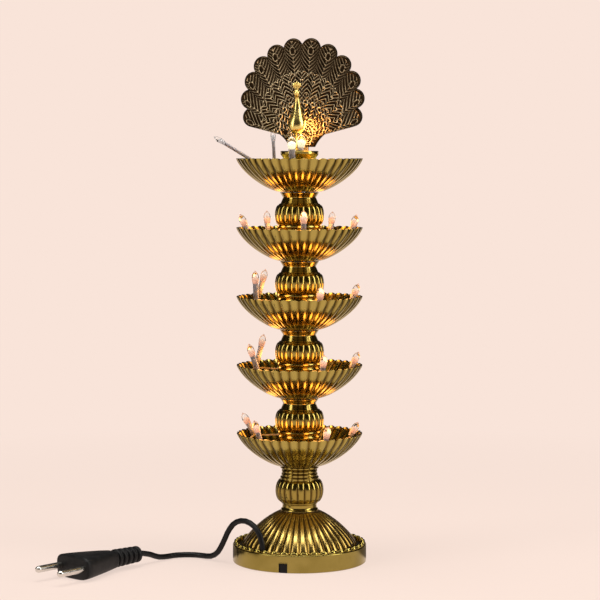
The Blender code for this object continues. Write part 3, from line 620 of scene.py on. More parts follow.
def glow(name, foot, middle, tip, strength):
    """A lit filament seen through the bulb: its colour changes from foot to tip."""
    material = new_material(name)
    shader = shader_of(material)
    colour = ramp(material, stored(material), [(0.10, foot), (0.55, middle), (0.90, tip)])
    link(material, colour, shader.inputs["Emission Color"])
    glint = spread(material, noise(material, 700), strength * 0.85, strength * 1.15)
    link(material, glint, shader.inputs["Emission Strength"])
    unlit_colour = ramp(material, noise(material, 300), [(0.4, foot), (0.6, middle)])
    link(material, unlit_colour, shader.inputs["Base Color"])
    shader.inputs["Roughness"].default_value = 0.4
    return material


def translucent(name, low, high):
    material = worn(name, (low, high), (0.25, 0.45), 0.0, 300, 0.1, 800)
    shader_of(material).inputs["Transmission Weight"].default_value = 0.35
    shader_of(material).inputs["IOR"].default_value = 1.40
    return material


def dull(material, level):
    """Lower how much a plain surface mirrors its surroundings."""
    shader_of(material).inputs["Specular IOR Level"].default_value = level
    return material


gold = worn("bright_gold", ((0.39, 0.30, 0.070), (0.46, 0.36, 0.095)), (0.10, 0.17), 1.0, 90, 0.05, 350)
# A paler copy of the gold for the bird: painted light.
bird_gold_painted_light = worn("bird_painted_light_gold", ((0.82, 0.62, 0.18), (0.92, 0.72, 0.25)), (0.20, 0.28), 1.0, 90, 0.05, 350)
# Fluted gold with painted shade in its grooves.
groove_gold = relief_gold("fluted_gold", (0.17, 0.11, 0.020), (0.46, 0.36, 0.095), (0.15, 0.23))
# A lighter and rougher copy of the fluted gold for the dome; its lighter colour is painted light.
dome_gold_painted_light = relief_gold("dome_gold_painted_light", (0.22, 0.13, 0.025), (0.66, 0.47, 0.14), (0.20, 0.30))
# A darker copy of the gold for the base's wall and ledge: painted shade.
wall_gold_painted_shade = worn("wall_gold_painted_shade", ((0.29, 0.225, 0.055), (0.35, 0.275, 0.075)), (0.12, 0.20), 1.0, 90, 0.05, 350)
# A darker copy of the fluted gold for the stems: painted shade.
stem_gold_painted_shade = relief_gold("stem_gold_painted_shade", (0.10, 0.060, 0.012), (0.37, 0.275, 0.066), (0.12, 0.20))
# Gold for the fan: painted shade on its low ground and painted highlight on its raised carved lines.
feather_gold = relief_gold("feather_gold_painted_shade_and_highlight", (0.030, 0.019, 0.009), (0.88, 0.72, 0.44), (0.24, 0.38),
                           (0.52, 1.05))
steel = worn("zinc_plate", ((0.50, 0.50, 0.49), (0.62, 0.62, 0.60)), (0.25, 0.40), 1.0, 200, 0.05, 600)
nickel = worn("nickel_plate", ((0.62, 0.60, 0.56), (0.74, 0.72, 0.67)), (0.16, 0.28), 1.0, 200, 0.04, 700)
black_plastic = dull(worn("moulded_black", ((0.005, 0.005, 0.006), (0.012, 0.012, 0.013)), (0.42, 0.56), 0.0,
                          260, 0.25, 1600), 0.25)
flex_skin = dull(worn("flex_sheath", ((0.005, 0.005, 0.006), (0.011, 0.011, 0.012)), (0.36, 0.48), 0.0,
                      300, 0.12, 1200), 0.25)
lead_skin = worn("lead_insulation", ((0.38, 0.27, 0.16), (0.50, 0.38, 0.24)), (0.20, 0.32), 0.0,
                 300, 0.05, 900)
block_skin = worn("block_moulding", ((0.68, 0.66, 0.61), (0.78, 0.76, 0.71)), (0.40, 0.55), 0.0,
                  200, 0.15, 900)
clear_glass = glass("bulb_glass", (0.93, 0.92, 0.90))
lit_core = glow("lit_filament", (0.36, 0.20, 0.16), (0.82, 0.42, 0.26), (0.98, 0.72, 0.54), 0.70)
bright_core = glow("bright_filament", (0.80, 0.74, 0.50), (1.00, 0.94, 0.66), (1.00, 0.98, 0.86), 0.70)
# The unlit bulbs' filaments glow faintly too: painted light.
unlit_core_painted_glow = glow("unlit_filament_painted_glow", (0.40, 0.37, 0.38), (0.60, 0.56, 0.55), (0.85, 0.82, 0.80), 0.35)
sleeve_skin = translucent("bulb_sleeve", (0.64, 0.57, 0.60), (0.82, 0.75, 0.76))


def paint_frame_nodes():
    """Materials for the CAD pieces that keep their own shape."""
    groups = (
        (steel, ("lamp_pipe", "pipe_nut_top", "pipe_nut_bottom", "pipe_washer_top", "pipe_washer_bottom",
                 "cover_screw_1", "cover_screw_2", "cover_screw_3")),
        (black_plastic, ("bottom_cover",)),
        (block_skin, ("terminal_block",)),
        (flex_skin, ("inner_lead",)),
        (lead_skin, ("riser_lead",) + tuple(f"light_lead_{tier}" for tier in range(1, tier_count + 1))),
    )
    for material, names in groups:
        for name in names:
            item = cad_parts[name]
            item.data.materials.clear()
            item.data.materials.append(material)


# Bowls and stems

def store_relief(mesh, values):
    """Keep a value from 0, low, to 1, high, at every point of the mesh for its material."""
    store = mesh.attributes.new("relief", "FLOAT", "POINT")
    store.data.foreach_set("value", np.asarray(values, np.float32).ravel())
    return mesh


def fluted(name, outline, steps, count, depth_at, sharpness, material=groove_gold, dip_at=None):
    """A closed turned piece with grooves pressed in, to the depth given for each radius and height.

    dip_at gives for each height how far the grooves also pull the piece down, which scallops a rim.
    """
    grooves = []

    def press(radius, height, angle):
        groove = lobe_side(angle, count) ** sharpness + 0 * radius
        depth = depth_at(radius, height)
        # Keep 1 on the lobes and 0 in the grooves; the material paints shade in the grooves from it.
        grooves.append(1 - groove * (depth > 0))
        dip = dip_at(height) * groove if dip_at else 0
        return radius - depth * groove, height - dip

    mesh = turned(name, outline, steps, press, closed=True)
    return painted(store_relief(mesh, grooves[0]), material)


def bowl_mesh():
    outside = [swell(bowl_foot_radius, bowl_rim_radius, 0, bowl_height, bowl_fullness, turn)
               for turn in np.linspace(4, 88, 22)]
    inner_radius = bowl_rim_radius - bowl_wall
    inside = [swell(bowl_foot_radius, inner_radius, bowl_floor, bowl_height, bowl_fullness, turn)
              for turn in np.linspace(88, 4, 18)]
    rim = filleted([outside[-1], (bowl_rim_radius, bowl_height), (inner_radius, bowl_height), inside[0]],
                   bowl_wall * 0.5)
    outline = [(pipe_hole_radius, 0), (bowl_foot_radius * 0.95, 0)] + outside + rim[1:-1] + inside
    outline += [(bowl_foot_radius, bowl_floor), (pipe_hole_radius, bowl_floor)]

    def depth(radius, height):
        share = np.clip((radius - bowl_foot_radius) / (bowl_rim_radius - bowl_foot_radius), 0, 1)
        return bowl_flute_depth * np.where(share > 0, 0.3 + 0.7 * share, 0)

    def dip(height):
        return bowl_rim_dip * np.clip((height / bowl_height - bowl_dip_from) / (1 - bowl_dip_from), 0, 1)

    return fluted("bowl", outline, bowl_flutes * 16, bowl_flutes, depth, bowl_flute_sharpness, dip_at=dip)


def ball_outline(low, height, end_radius, radius, count=15):
    """Rows of a ball from its bottom to its top."""
    rows = []
    for turn in np.radians(np.linspace(-84, 84, count)):
        rows.append((end_radius + (radius - end_radius) * math.cos(turn),
                     low + height / 2 + height / 2 * math.sin(turn)))
    return rows


def ball_depth(low, height):
    def depth(radius, z):
        share = np.clip((z - low) / height, 0, 1)
        return stem_flute_depth * np.sin(np.pi * share) ** 0.5
    return depth


def stem_mesh():
    ball_low = stem_foot_height
    ball_high = ball_low + stem_ball_height
    foot = [(stem_foot_radius, 0)]
    foot += [(stem_foot_radius + rise, ball_low - below) for rise, below in stem_foot_beads]
    foot += [(stem_shoulder_radius - 0.0002, ball_low)]
    ball = ball_outline(ball_low, stem_ball_height, stem_shoulder_radius, stem_ball_radius)
    top = [(stem_shoulder_radius, ball_high + 0.0001),
           (stem_shoulder_radius - 0.0002, ball_high + 0.0006),
           (stem_shoulder_radius - 0.0011, ball_high + 0.0008),
           (stem_neck_radius, stem_height - 0.0034),
           (stem_neck_radius, stem_height - 0.0028),
           (stem_collar_radius - 0.0002, stem_height - 0.0005),
           (stem_collar_radius, stem_height),
           (pipe_hole_radius, stem_height)]
    inside = [(pipe_hole_radius, ball_high),
              (stem_hollow_radius, ball_low + stem_ball_height / 3),
              (stem_hollow_radius, 0),
              (stem_foot_radius - 0.0002, 0)]
    outline = filleted(foot, edge_fillet) + ball + filleted(top + inside, edge_fillet)
    return fluted("stem", outline, stem_flutes * 18, stem_flutes, ball_depth(ball_low, stem_ball_height),
                  stem_flute_sharpness, stem_gold_painted_shade)


def base_stem_mesh():
    ball_low = base_stem_ball_low
    ball_high = ball_low + base_stem_ball_height
    shoulder = base_stem_neck_radius + 0.0006
    foot = [(pipe_hole_radius, 0),
            (base_stem_neck_radius + 0.0008, 0),
            (base_stem_neck_radius + 0.0008, 0.0007),
            (base_stem_neck_radius - 0.0002, 0.0018),
            (base_stem_neck_radius - 0.0002, ball_low - 0.0010),
            (shoulder, ball_low - 0.0007),
            (base_stem_neck_radius + 0.0004, ball_low)]
    ball = ball_outline(ball_low, base_stem_ball_height, shoulder, base_stem_ball_radius)
    rings = []
    for rise, radius in base_stem_rings:
        low = ball_high + rise
        high = low + base_stem_ring_height
        rings += [(radius, low + ring_edge),
                  (radius, high - ring_edge),
                  (radius - ring_groove, high),
                  (radius - ring_groove, high + ring_edge)]
    collar = [(stem_collar_radius - 0.0012, base_stem_height - 0.0017),
              (stem_collar_radius, base_stem_height - 0.0010),
              (stem_collar_radius, base_stem_height),
              (pipe_hole_radius, base_stem_height)]
    outline = filleted(foot, edge_fillet) + ball + filleted(rings + collar, edge_fillet * 0.8)
    depth = ball_depth(ball_low, base_stem_ball_height)
    return fluted("base_stem", outline, stem_flutes * 18, stem_flutes, depth, stem_flute_sharpness, stem_gold_painted_shade)


def add_stack():
    bowl = bowl_mesh()
    stem = stem_mesh()
    for tier in range(1, tier_count + 1):
        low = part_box(f"bowl_{tier}")[0].z
        add_piece(f"bowl_{tier}_fluted", bowl, f"tier_{tier}", f"bowl_{tier}",
                  Matrix.Translation((0, 0, low)))
        if tier < tier_count:
            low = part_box(f"stem_{tier}")[0].z
            add_piece(f"stem_{tier}_fluted", stem, f"tier_{tier}", f"stem_{tier}",
                      Matrix.Translation((0, 0, low)))
    add_piece("base_stem_fluted", base_stem_mesh(), "base", "base_stem",
              Matrix.Translation((0, 0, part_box("base_stem")[0].z)))


# Base

def base_outline():
    dome = [swell(base_seat_radius, dome_foot_radius, base_height, base_wall_height, dome_fullness, turn)
            for turn in np.linspace(3, 90, dome_rows)]
    lip = filleted([(dome_foot_radius + 0.0001, base_wall_height),
                    (bead_circle - bead_half_width, base_wall_height),
                    (bead_circle, base_wall_height + bead_rise * 0.25),
                    (base_radius, base_wall_height),
                    (base_radius, 0.0002),
                    (base_radius - 0.0004, 0),
                    (base_radius - base_wall, 0)], edge_fillet)
    hollow = [(base_radius - base_wall, base_wall_height - base_wall),
              (dome_foot_radius - base_wall * 1.7, base_wall_height - base_wall)]
    hollow += [(radius - base_wall, z - base_wall * 1.5) for radius, z in reversed(dome[3:-5:4])]
    hollow += [(pipe_hole_radius, base_height - 0.0025),
               (pipe_hole_radius, base_height),
               (base_seat_radius * 0.97, base_height)]
    return dome + lip + hollow


def base_mesh():
    """The base with grooves on its dome only, which grow from the foot and fade out at the top."""
    outline = base_outline()
    dome_row = np.arange(len(outline))[:, None] < dome_rows

    def depth(radius, height):
        grooved = dome_row & (height > base_wall_height + 0.0001)
        rise = np.clip((height - base_wall_height) / dome_flute_fade, 0, 1)
        fade = np.clip((base_height - height) / dome_flute_fade, 0, 1)
        return dome_flute_depth * grooved * (0.35 + 0.65 * rise) * fade

    mesh = fluted("base", outline, dome_flutes * 14, dome_flutes, depth, dome_flute_sharpness, dome_gold_painted_light)
    return with_wall(painted_foot_shade(mesh))


def painted_foot_shade(mesh):
    """Let the dome's tone fall off towards its foot: painted shade."""
    tones = np.empty(len(mesh.vertices), np.float32)
    mesh.attributes["relief"].data.foreach_get("value", tones)
    heights = [point.co.z for point in mesh.vertices]
    tones *= np.interp(heights, (base_wall_height, base_height), (dome_foot_painted_shade, 1))
    mesh.attributes["relief"].data.foreach_set("value", tones)
    return mesh


def with_wall(mesh):
    """Give all that lies outside the dome the wall's darker gold, which paints shade."""
    painted(mesh, wall_gold_painted_shade)
    for face in mesh.polygons:
        face.material_index = int(face.center.xy.length > dome_foot_radius)
    return mesh


def box_mesh(name, low, high):
    shape = bmesh.new()
    middle = [(a + b) / 2 for a, b in zip(low, high)]
    size = [b - a for a, b in zip(low, high)]
    bmesh.ops.create_cube(shape, size=1, matrix=Matrix.Translation(middle) @ Matrix.Diagonal((*size, 1)))
    mesh = bpy.data.meshes.new(name)
    shape.to_mesh(mesh)
    shape.free()
    return mesh


def cut(mesh, tools):
    """The mesh with each tool mesh cut out of it."""
    item = in_scene(mesh.name, mesh)
    helpers = [in_scene("tool", tool) for tool in tools]
    for helper in helpers:
        step = item.modifiers.new("cut", "BOOLEAN")
        step.operation = "DIFFERENCE"
        step.solver = "EXACT"
        step.object = helper
    bpy.context.view_layer.update()
    graph = bpy.context.evaluated_depsgraph_get()
    result = bpy.data.meshes.new_from_object(item.evaluated_get(graph))
    for helper in helpers + [item]:
        bpy.data.objects.remove(helper, do_unlink=True)
    return result


def bead_ring():
    """Oval rings with a sunk middle, one to each flute of the dome, set round the ledge."""
    rows = []
    turns = 2 * np.pi * np.arange(bead_steps) / bead_steps
    for reach, rise in bead_outline:
        row = np.stack([bead_half_length * reach * np.cos(turns),
                        bead_half_width * reach * np.sin(turns) - bead_circle,
                        np.full(bead_steps, base_wall_height + bead_rise * rise)], axis=-1)
        rows.append(row)
    bead = skin("bead", rows, caps=True)
    beads = []
    for number in range(dome_flutes):
        beads.append(moved(bead.copy(), Matrix.Rotation(2 * math.pi * number / dome_flutes, 4, "Z")))
    return painted(joined("beads", beads), gold)


def add_base():
    notch = box_mesh("notch", (-notch_width / 2, -base_radius - 0.001, -0.001),
                     (notch_width / 2, -base_radius + base_wall + 0.001, notch_height))
    hole_radius = cord_diameter / 2 + cord_hole_clearance
    low, high = cord_hole_span
    hole_outline = [(0.00001, low), (hole_radius, low), (hole_radius, high), (0.00001, high)]
    hole = turned("hole", hole_outline, 24, caps=True)
    hole = moved(hole, Matrix.Translation((cord_exit[0], cord_exit[1], 0)))
    shell = cut(base_mesh(), [notch, hole])
    add_piece("base_shell_fluted", shell, "base", "base_shell")
    add_piece("base_beads", bead_ring(), "base")


# Bulbs

def bulb_mesh(name, length, core, wide=bulb_radius, sleeve=sleeve_radius):
    """A glass capsule with a drawn tip round a filament, on its sleeve."""
    neck = max(length - bulb_length, sleeve / 2)

    def at(share):
        return neck + bulb_length * share

    filament_outline = smooth_route([(near_axis, at(0.02)), (wide * 0.70, at(0.12)), (wide * 0.80, at(0.34)),
                                     (wide * 0.62, at(0.52)), (near_axis, at(0.64))], 14)
    filament = painted(turned("filament", filament_outline, 14, caps=True), core)
    heights = [point.co.z for point in filament.vertices]
    store_relief(filament, np.interp(heights, (at(0.02), at(0.64)), (0, 1)))
    envelope_outline = smooth_route([(sleeve * 0.80, neck - 0.0004), (sleeve * 1.05, neck + 0.0010),
                                     (wide, at(0.38)), (wide, at(0.60)), (wide * 0.74, at(0.80)),
                                     (wide * 0.26, at(0.92)), (near_axis, at(1.0))], 24)
    envelope = painted(turned("envelope", envelope_outline, 20, caps=True), clear_glass)
    sleeve_outline = [(sleeve, 0), (sleeve, neck), (sleeve * 1.08, neck + 0.0012),
                      (sleeve * 0.96, neck + 0.0013), (sleeve * 0.78, neck), (sleeve * 0.78, 0)]
    holder = painted(turned("sleeve", filleted(sleeve_outline, 0.0002, 2), 16, closed=True), sleeve_skin)
    return joined(name, [filament, envelope, holder])


def bulb_kind(tier, number):
    """Filament, bulb radius and sleeve radius: lit below, one bright and two thin unlit ones on top."""
    if tier < tier_count:
        return lit_core, bulb_radius, sleeve_radius
    if number == 1:
        return bright_core, front_bulb_radius, front_sleeve_radius
    # The two thin unlit bulbs still get a faintly glowing filament: painted light.
    return unlit_core_painted_glow, thin_bulb_radius, thin_sleeve_radius


def bulb_place(tier, number, angle, lean):
    """Where the CAD sleeve stands: its foot's place from the node's box, its lean and turn from the list."""
    low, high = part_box(f"bulb_{tier}_{number}")
    turn = Matrix.Rotation(math.radians(angle), 4, "Z") @ Matrix.Rotation(math.radians(lean), 4, "X")
    tip = turn @ Vector((0, 0, sleeve_foot_depth + bulb_places[tier - 1][number - 1][2]))
    middle = (low + high) / 2
    return turn, middle - tip / 2


def add_bulbs():
    for tier, places in enumerate(bulb_places, 1):
        for number, (angle, lean, rise) in enumerate(places, 1):
            node = f"bulb_{tier}_{number}"
            mesh = bulb_mesh(node, sleeve_foot_depth + rise, *bulb_kind(tier, number))
            turn, foot = bulb_place(tier, number, angle, lean)
            add_piece(f"{node}_glass", mesh, f"tier_{tier}", node,
                      Matrix.Translation(foot) @ turn)
    low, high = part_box("bird_bulb")
    middle = (low + high) / 2
    mesh = bulb_mesh("bird_bulb", bird_bulb_height, bright_core, bird_bulb_radius)
    add_piece("bird_bulb_glass", mesh, f"tier_{tier_count}", "bird_bulb",
              Matrix.Translation((middle.x, middle.y, low.z)))


# Finial

def pedestal_mesh():
    low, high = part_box("finial_pedestal")
    height = high.z - low.z
    post = high.x - pedestal_rim
    inner = post - pedestal_wall
    points = [(inner, 0)]
    points += [(post + off, z) for off, z in pedestal_foot]
    points += [(post + off, height - below) for off, below in pedestal_top]
    points += [(radius, height - below) for radius, below in pedestal_cup]
    points += [(inner, height - pedestal_ceiling_depth), (inner, near_axis)]
    outline = filleted(points, edge_fillet)
    return painted(turned("pedestal", outline, 64, closed=True), gold), low.z


def fan_edge():
    """The fan's edge from its right root over the lobes to its left root.

    Gives for each point its place and its count of feathers from the first lobe.
    """
    half_chord = tail_lobe_circle * math.sin(math.radians(tail_lobe_spacing / 2))
    reach = 90 + tail_lobe_spacing / 2 - math.degrees(math.acos(half_chord / tail_lobe_radius))
    first = 90 - tail_lobe_spacing * (tail_lobes - 1) / 2
    lobes = []
    for number in range(tail_lobes):
        middle = math.radians(first + number * tail_lobe_spacing)
        for share in np.linspace(-1, 1, 26, endpoint=False):
            turn = middle + math.radians(share * reach)
            lobes.append((tail_lobe_circle * math.cos(middle) + tail_lobe_radius * math.cos(turn),
                          tail_centre_height + tail_lobe_circle * math.sin(middle)
                          + tail_lobe_radius * math.sin(turn),
                          number + 0.5 + share / 2))
    side = Vector(lobes[0][:2])
    bend = Vector((side.x * 0.45, side.y))
    root = Vector((tail_root_half_width, tail_root_height))
    lower = []
    for share in np.linspace(0, 1, 30, endpoint=False):
        point = root.lerp(bend, share).lerp(bend.lerp(side, share), share)
        lower.append((point.x, point.y, -0.9 + 0.9 * share))
    left = [(-x, z, tail_lobes - count) for x, z, count in reversed(lower)]
    last = [(-side.x, side.y, float(tail_lobes))]
    return np.array(lower + lobes + last + left)


def line_at(distance, half_width):
    """A raised line, 1 in its middle, at a distance from it."""
    return np.exp(-(distance / half_width) ** 2)


def feather_relief(count, share, length):
    """How high the carved feathers stand, from 0 to 1, at a place on the fan.

    count runs over the feathers round the fan, share from the root to the rim, and length is the
    distance from root to rim. Inner rows of feathers lie over the outer ones and half a feather aside.
    """
    relief = np.zeros_like(share)
    free = np.ones(share.shape, bool)
    for row, tip in enumerate(feather_rows + (2.0,)):
        turn = count + 0.5 * ((len(feather_rows) - row) % 2)
        side = (turn % 1 - 0.5) * 2
        edge = tip - feather_tip_drop * (1 - np.sqrt(np.clip(1 - side ** 2, 0, 1)))
        inside = free & (share < edge)
        free = free & ~inside
        along = share * length
        across = np.abs(side) * tail_lobe_radius * share
        phase = (along - across * barb_slope) / barb_pitch
        off_line = np.abs(phase % 1 - 0.5) * barb_pitch / math.hypot(1, barb_slope)
        carved = barb_tone * line_at(off_line, barb_half_width)
        carved = np.maximum(carved, spine_tone * line_at(across, spine_half_width))
        if tip < 1:
            eye = np.hypot((share - tip + feather_tip_drop) * length, across)
            carved = np.where(eye < eye_radius, 0.0, carved)
            carved = np.maximum(carved, line_at(eye - eye_radius, eye_ring_half_width))
            from_tip = (edge - share) * length - feather_tip_inset
            carved = np.maximum(carved, feather_tip_tone * line_at(from_tip, feather_tip_half_width))
        else:
            drop = np.hypot((share - lobe_eye_place) * length / lobe_eye_length, across / lobe_eye_width)
            carved = np.where(drop < 1.45, 0.30 * (drop < 1), carved)
            off_ring = (drop - 1.1) * lobe_eye_width
            carved = np.maximum(carved, lobe_eye_tone * line_at(off_ring, spine_half_width))
        relief = np.where(inside, carved, relief)
    return np.clip(relief, 0, 1)


def ring_at(edge, root, share, depth):
    """The fan's edge drawn in towards the root, at one depth."""
    return np.stack([root[0] + (edge[:, 0] - root[0]) * share,
                     depth + 0 * edge[:, 0],
                     root[1] + (edge[:, 1] - root[1]) * share], axis=-1)


def fan_mesh():
    """The scalloped fan with its rows of carved feathers in front and a plain back."""
    edge = fan_edge()
    root = np.array([0.0, tail_root_height + tail_tab_half_width])
    length = np.hypot(edge[:, 0] - root[0], edge[:, 1] - root[1])[None, :]
    shares = np.linspace(0.03, 1.0, tail_rows)[:, None] + 0 * length
    count = edge[:, 2][None, :] + 0 * shares
    x = root[0] + (edge[:, 0] - root[0])[None, :] * shares
    z = root[1] + (edge[:, 1] - root[1])[None, :] * shares
    from_rim = (1 - shares) * length
    # The tone sets the carving's height and, through the material, painted shade on the ground and painted
    # highlight on the lines.
    tone = np.where(from_rim > tail_rim_width, feather_relief(count, shares, length), tail_rim_tone)
    in_hole = np.hypot(x - tail_hole_place[0], z - tail_hole_place[1]) < tail_hole_radius
    tone = np.where(in_hole, 0.0, tone)
    rim = line_at(from_rim - tail_rim_width * 0.6, tail_rim_width * 0.6)
    height = np.clip(tone * 0.7 + rim * 0.7, 0, 1) - 0.9 * in_hole
    half = tail_thickness / 2
    front = np.stack([x, -half - tail_relief * height, z], axis=-1)
    rounding = [ring_at(edge, root, 1 + 0.0005 * math.sin(math.pi * turn) / length[0], half * (2 * turn - 1))
                for turn in (0.25, 0.5, 0.75)]
    back = [ring_at(edge, root, share, half) for share in (0.98, 0.5, 0.03)]
    mesh = skin("fan", np.concatenate([front, rounding, back]), caps=True)
    plain = np.full((len(rounding) + len(back), len(edge)), tail_back_tone)
    return painted(store_relief(mesh, np.concatenate([tone, plain])), feather_gold)


def tail_tab():
    half = tail_thickness / 2
    mesh = box_mesh("tab", (-tail_tab_half_width, -half, -tail_tab_depth),
                    (tail_tab_half_width, half, tail_root_height + tail_tab_half_width * 0.8))
    return painted(store_relief(mesh, np.full(len(mesh.vertices), tail_tab_tone)), feather_gold)


def bird_body():
    """Body, neck and head as one skin, with folded wings and rows of small feathers."""
    sections = smooth_route(bird_sections, 70)
    steps = 40
    turns = 2 * np.pi * np.arange(steps) / steps
    rows = []
    low = bird_sections[0][0]
    for height, forward, half_width, half_depth in sections:
        share = (height - low) / (bird_neck_height - low)
        wing = wing_rise * line_at(share - wing_place, wing_spread) * np.abs(np.cos(turns)) ** 1.5
        row = share * scale_rows
        scale = scale_rise * np.sin(turns * scale_columns + 6 * (int(row) % 2)) * np.sin(row * np.pi) ** 2
        grow = wing + scale * (0.08 < share < 0.95)
        rows.append(np.stack([(half_width + grow) * np.cos(turns),
                              forward + (half_depth + grow) * np.sin(turns),
                              np.full(steps, height)], axis=-1))
    return skin("bird", rows, caps=True)


def plume(side, lean):
    """One crest plume: a thin stalk that ends in a leaf."""
    stops = 14
    base = Vector((0, -bird_head_forward, crest_low))
    tip = Vector((side * crest_half_width, -bird_head_forward + lean, crest_high - abs(side) * 0.0010))
    middle = base.lerp(tip, 0.5) + Vector((side * 0.0004, 0, (crest_high - crest_low) * 0.04))
    points = smooth_route([base, middle, tip], stops)
    shares = [step / (stops - 1) for step in range(stops)]
    leaf = [plume_stalk_radius + plume_leaf_swell * line_at(share - 0.75, 0.16) for share in shares]
    leaf[-1] = near_axis
    return skin("plume", tube_rows(points, leaf, 10), caps=True)


def bird_eye(side):
    eye = turned("eye", bird_eye_outline, 10, caps=True)
    place = Matrix.Translation((side * bird_eye_side, -bird_head_forward - bird_eye_forward,
                                bird_head_height + bird_eye_rise))
    return moved(eye, place @ Matrix.Rotation(math.radians(90 * side), 4, "Y"))


def bird_leg(side):
    x = side * bird_leg_spread
    body_forward = bird_sections[0][1]
    route = smooth_route([(x, bird_offset, bird_foot_height / 2), (x, bird_offset, bird_leg_top * 0.6),
                          (x, (bird_offset + body_forward) / 2, bird_leg_top)], 8)
    return skin("leg", tube_rows(route, [bird_leg_radius] * 8, 10), caps=True)


def peacock_mesh():
    pieces = [bird_body()]
    for side, lean in crest_plumes:
        pieces.append(plume(side, lean))
    beak = [Vector((0, -bird_head_forward - forward, bird_head_height + rise))
            for forward, rise in beak_route]
    pieces.append(skin("beak", tube_rows(beak, beak_radii, 10), caps=True))
    for side in (-1, 1):
        pieces.append(bird_eye(side))
        pieces.append(bird_leg(side))
    foot_outline = [(near_axis, 0.0003), (bird_foot_radius, 0.0003),
                    (bird_foot_radius, bird_foot_height * 0.8),
                    (bird_foot_radius * 0.7, bird_foot_height), (near_axis, bird_foot_height)]
    foot = turned("foot", filleted(foot_outline, 0.0002), 24, caps=True)
    pieces.append(moved(foot, Matrix.Translation((0, bird_offset, 0))))
    return painted(joined("peacock", pieces), bird_gold_painted_light)


def add_finial():
    body = f"tier_{tier_count}"
    pedestal, low = pedestal_mesh()
    add_piece("finial_pedestal_turned", pedestal, body, "finial_pedestal",
              Matrix.Translation((0, 0, low)))
    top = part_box("finial_pedestal")[1].z
    add_piece("peacock_body_carved", peacock_mesh(), body, "peacock_body",
              Matrix.Translation((0, 0, top)))
    fan = joined("peacock_tail_carved", [fan_mesh(), tail_tab()])
    add_piece("peacock_tail_carved", fan, body, "peacock_tail",
              Matrix.Translation((0, tail_plane, top)))


# Flex and plug

def cord_route():
    start = Vector((cord_exit[0], cord_exit[1], 0))
    return smooth_route([start + Vector(step) for step in cord_steps], cord_points)


def cord_curve(points):
    curve = bpy.data.curves.new("mains_cord", "CURVE")
    curve.dimensions = "3D"
    curve.bevel_depth = cord_diameter / 2
    curve.bevel_resolution = 6
    curve.use_fill_caps = True
    spline = curve.splines.new("POLY")
    spline.points.add(len(points) - 1)
    for place, point in zip(spline.points, points):
        place.co = (*point, 1)
    spline.use_smooth = True
    curve.materials.append(flex_skin)
    return curve


def plug_section(x, half_width, half_thickness):
    ring = []
    for step in range(plug_section_steps):
        turn = 2 * math.pi * (step + 0.5) / plug_section_steps
        across = math.copysign(abs(math.cos(turn)) ** plug_squareness, math.cos(turn))
        up = math.copysign(abs(math.sin(turn)) ** plug_squareness, math.sin(turn))
        ring.append((x, half_width * across, half_thickness * up))
    return ring


def plug_body_mesh():
    start = plug_sleeve_length
    rings = []
    wider = plug_half_width - plug_neck_half_width
    thicker = plug_half_thickness - plug_neck_half_thickness
    for along, widen in smooth_route(plug_widening, 30):
        widen = max(widen, 0)
        half_width = plug_neck_half_width + widen * wider
        half_thickness = plug_neck_half_thickness + widen ** 0.5 * thicker
        rings.append(plug_section(start + plug_body_length * along, half_width, half_thickness))
    end = start + plug_body_length
    for inset, back in plug_end_rounding:
        rings.append(plug_section(end - back, plug_half_width - inset, plug_half_thickness - inset))
    body = skin("plug", rings, caps=True)
    pitch = plug_sleeve_length / plug_ribs
    outline = [(cord_diameter / 2 + 0.0002, 0.0), (plug_rib_radius * 0.9, 0.0)]
    for rib in range(plug_ribs):
        radius = plug_rib_radius + plug_rib_flare * rib / plug_ribs
        outline += [(radius, pitch * (rib + 0.12)),
                    (radius, pitch * (rib + 0.60)),
                    (radius - plug_rib_depth, pitch * (rib + 0.74)),
                    (radius - plug_rib_depth, pitch * (rib + 0.98))]
    outline += [(plug_rib_radius, start + 0.0008), (0.0005, start + 0.0010)]
    sleeve = turned("sleeve", filleted(outline, 0.0004, 3), 32, caps=True)
    sleeve = moved(sleeve, Matrix.Rotation(math.radians(90), 4, "Y"))
    return painted(joined("plug", [body, sleeve]), black_plastic)


def pin_mesh():
    total = pin_seat + pin_length
    outline = filleted([(near_axis, 0), (pin_radius, 0), (pin_radius, total - 0.0016),
                        (pin_radius * 0.72, total - 0.0003), (pin_radius * 0.35, total), (near_axis, total)],
                       edge_fillet)
    pin = turned("pin", outline, 24, caps=True)
    return painted(moved(pin, Matrix.Rotation(math.radians(90), 4, "Y")), nickel)


def add_cord_and_plug():
    points = cord_route()
    heading = math.radians(plug_heading)
    ahead = Vector((math.cos(heading), math.sin(heading), 0))
    place = Matrix.Translation(points[-1] + ahead * plug_start_gap) @ Matrix.Rotation(heading, 4, "Z")
    points += [points[-1] + ahead * cord_in_plug / 2, points[-1] + ahead * cord_in_plug]
    cord = add_piece("mains_cord", cord_curve(points), "base", "cord")
    body = add_piece("plug_moulding", plug_body_mesh(), "base", "plug_body", place)
    seat = plug_sleeve_length + plug_body_length - pin_seat
    for side, node in ((-1, "plug_pin_left"), (1, "plug_pin_right")):
        pin_place = place @ Matrix.Translation((seat, side * pin_spacing / 2, 0))
        add_piece(f"{node}_turned", pin_mesh(), "base", node, pin_place)


# Stage, light and camera

def seen_directly(owner):
    """1 for rays from the camera, from metal and through glass, and 0 for the rest."""
    rays = add_node(owner, "ShaderNodeLightPath")
    result = rays.outputs["Is Camera Ray"]
    for kind in ("Is Glossy Ray", "Is Transmission Ray"):
        result = calculated(owner, "MAXIMUM", result, rays.outputs[kind])
    return result


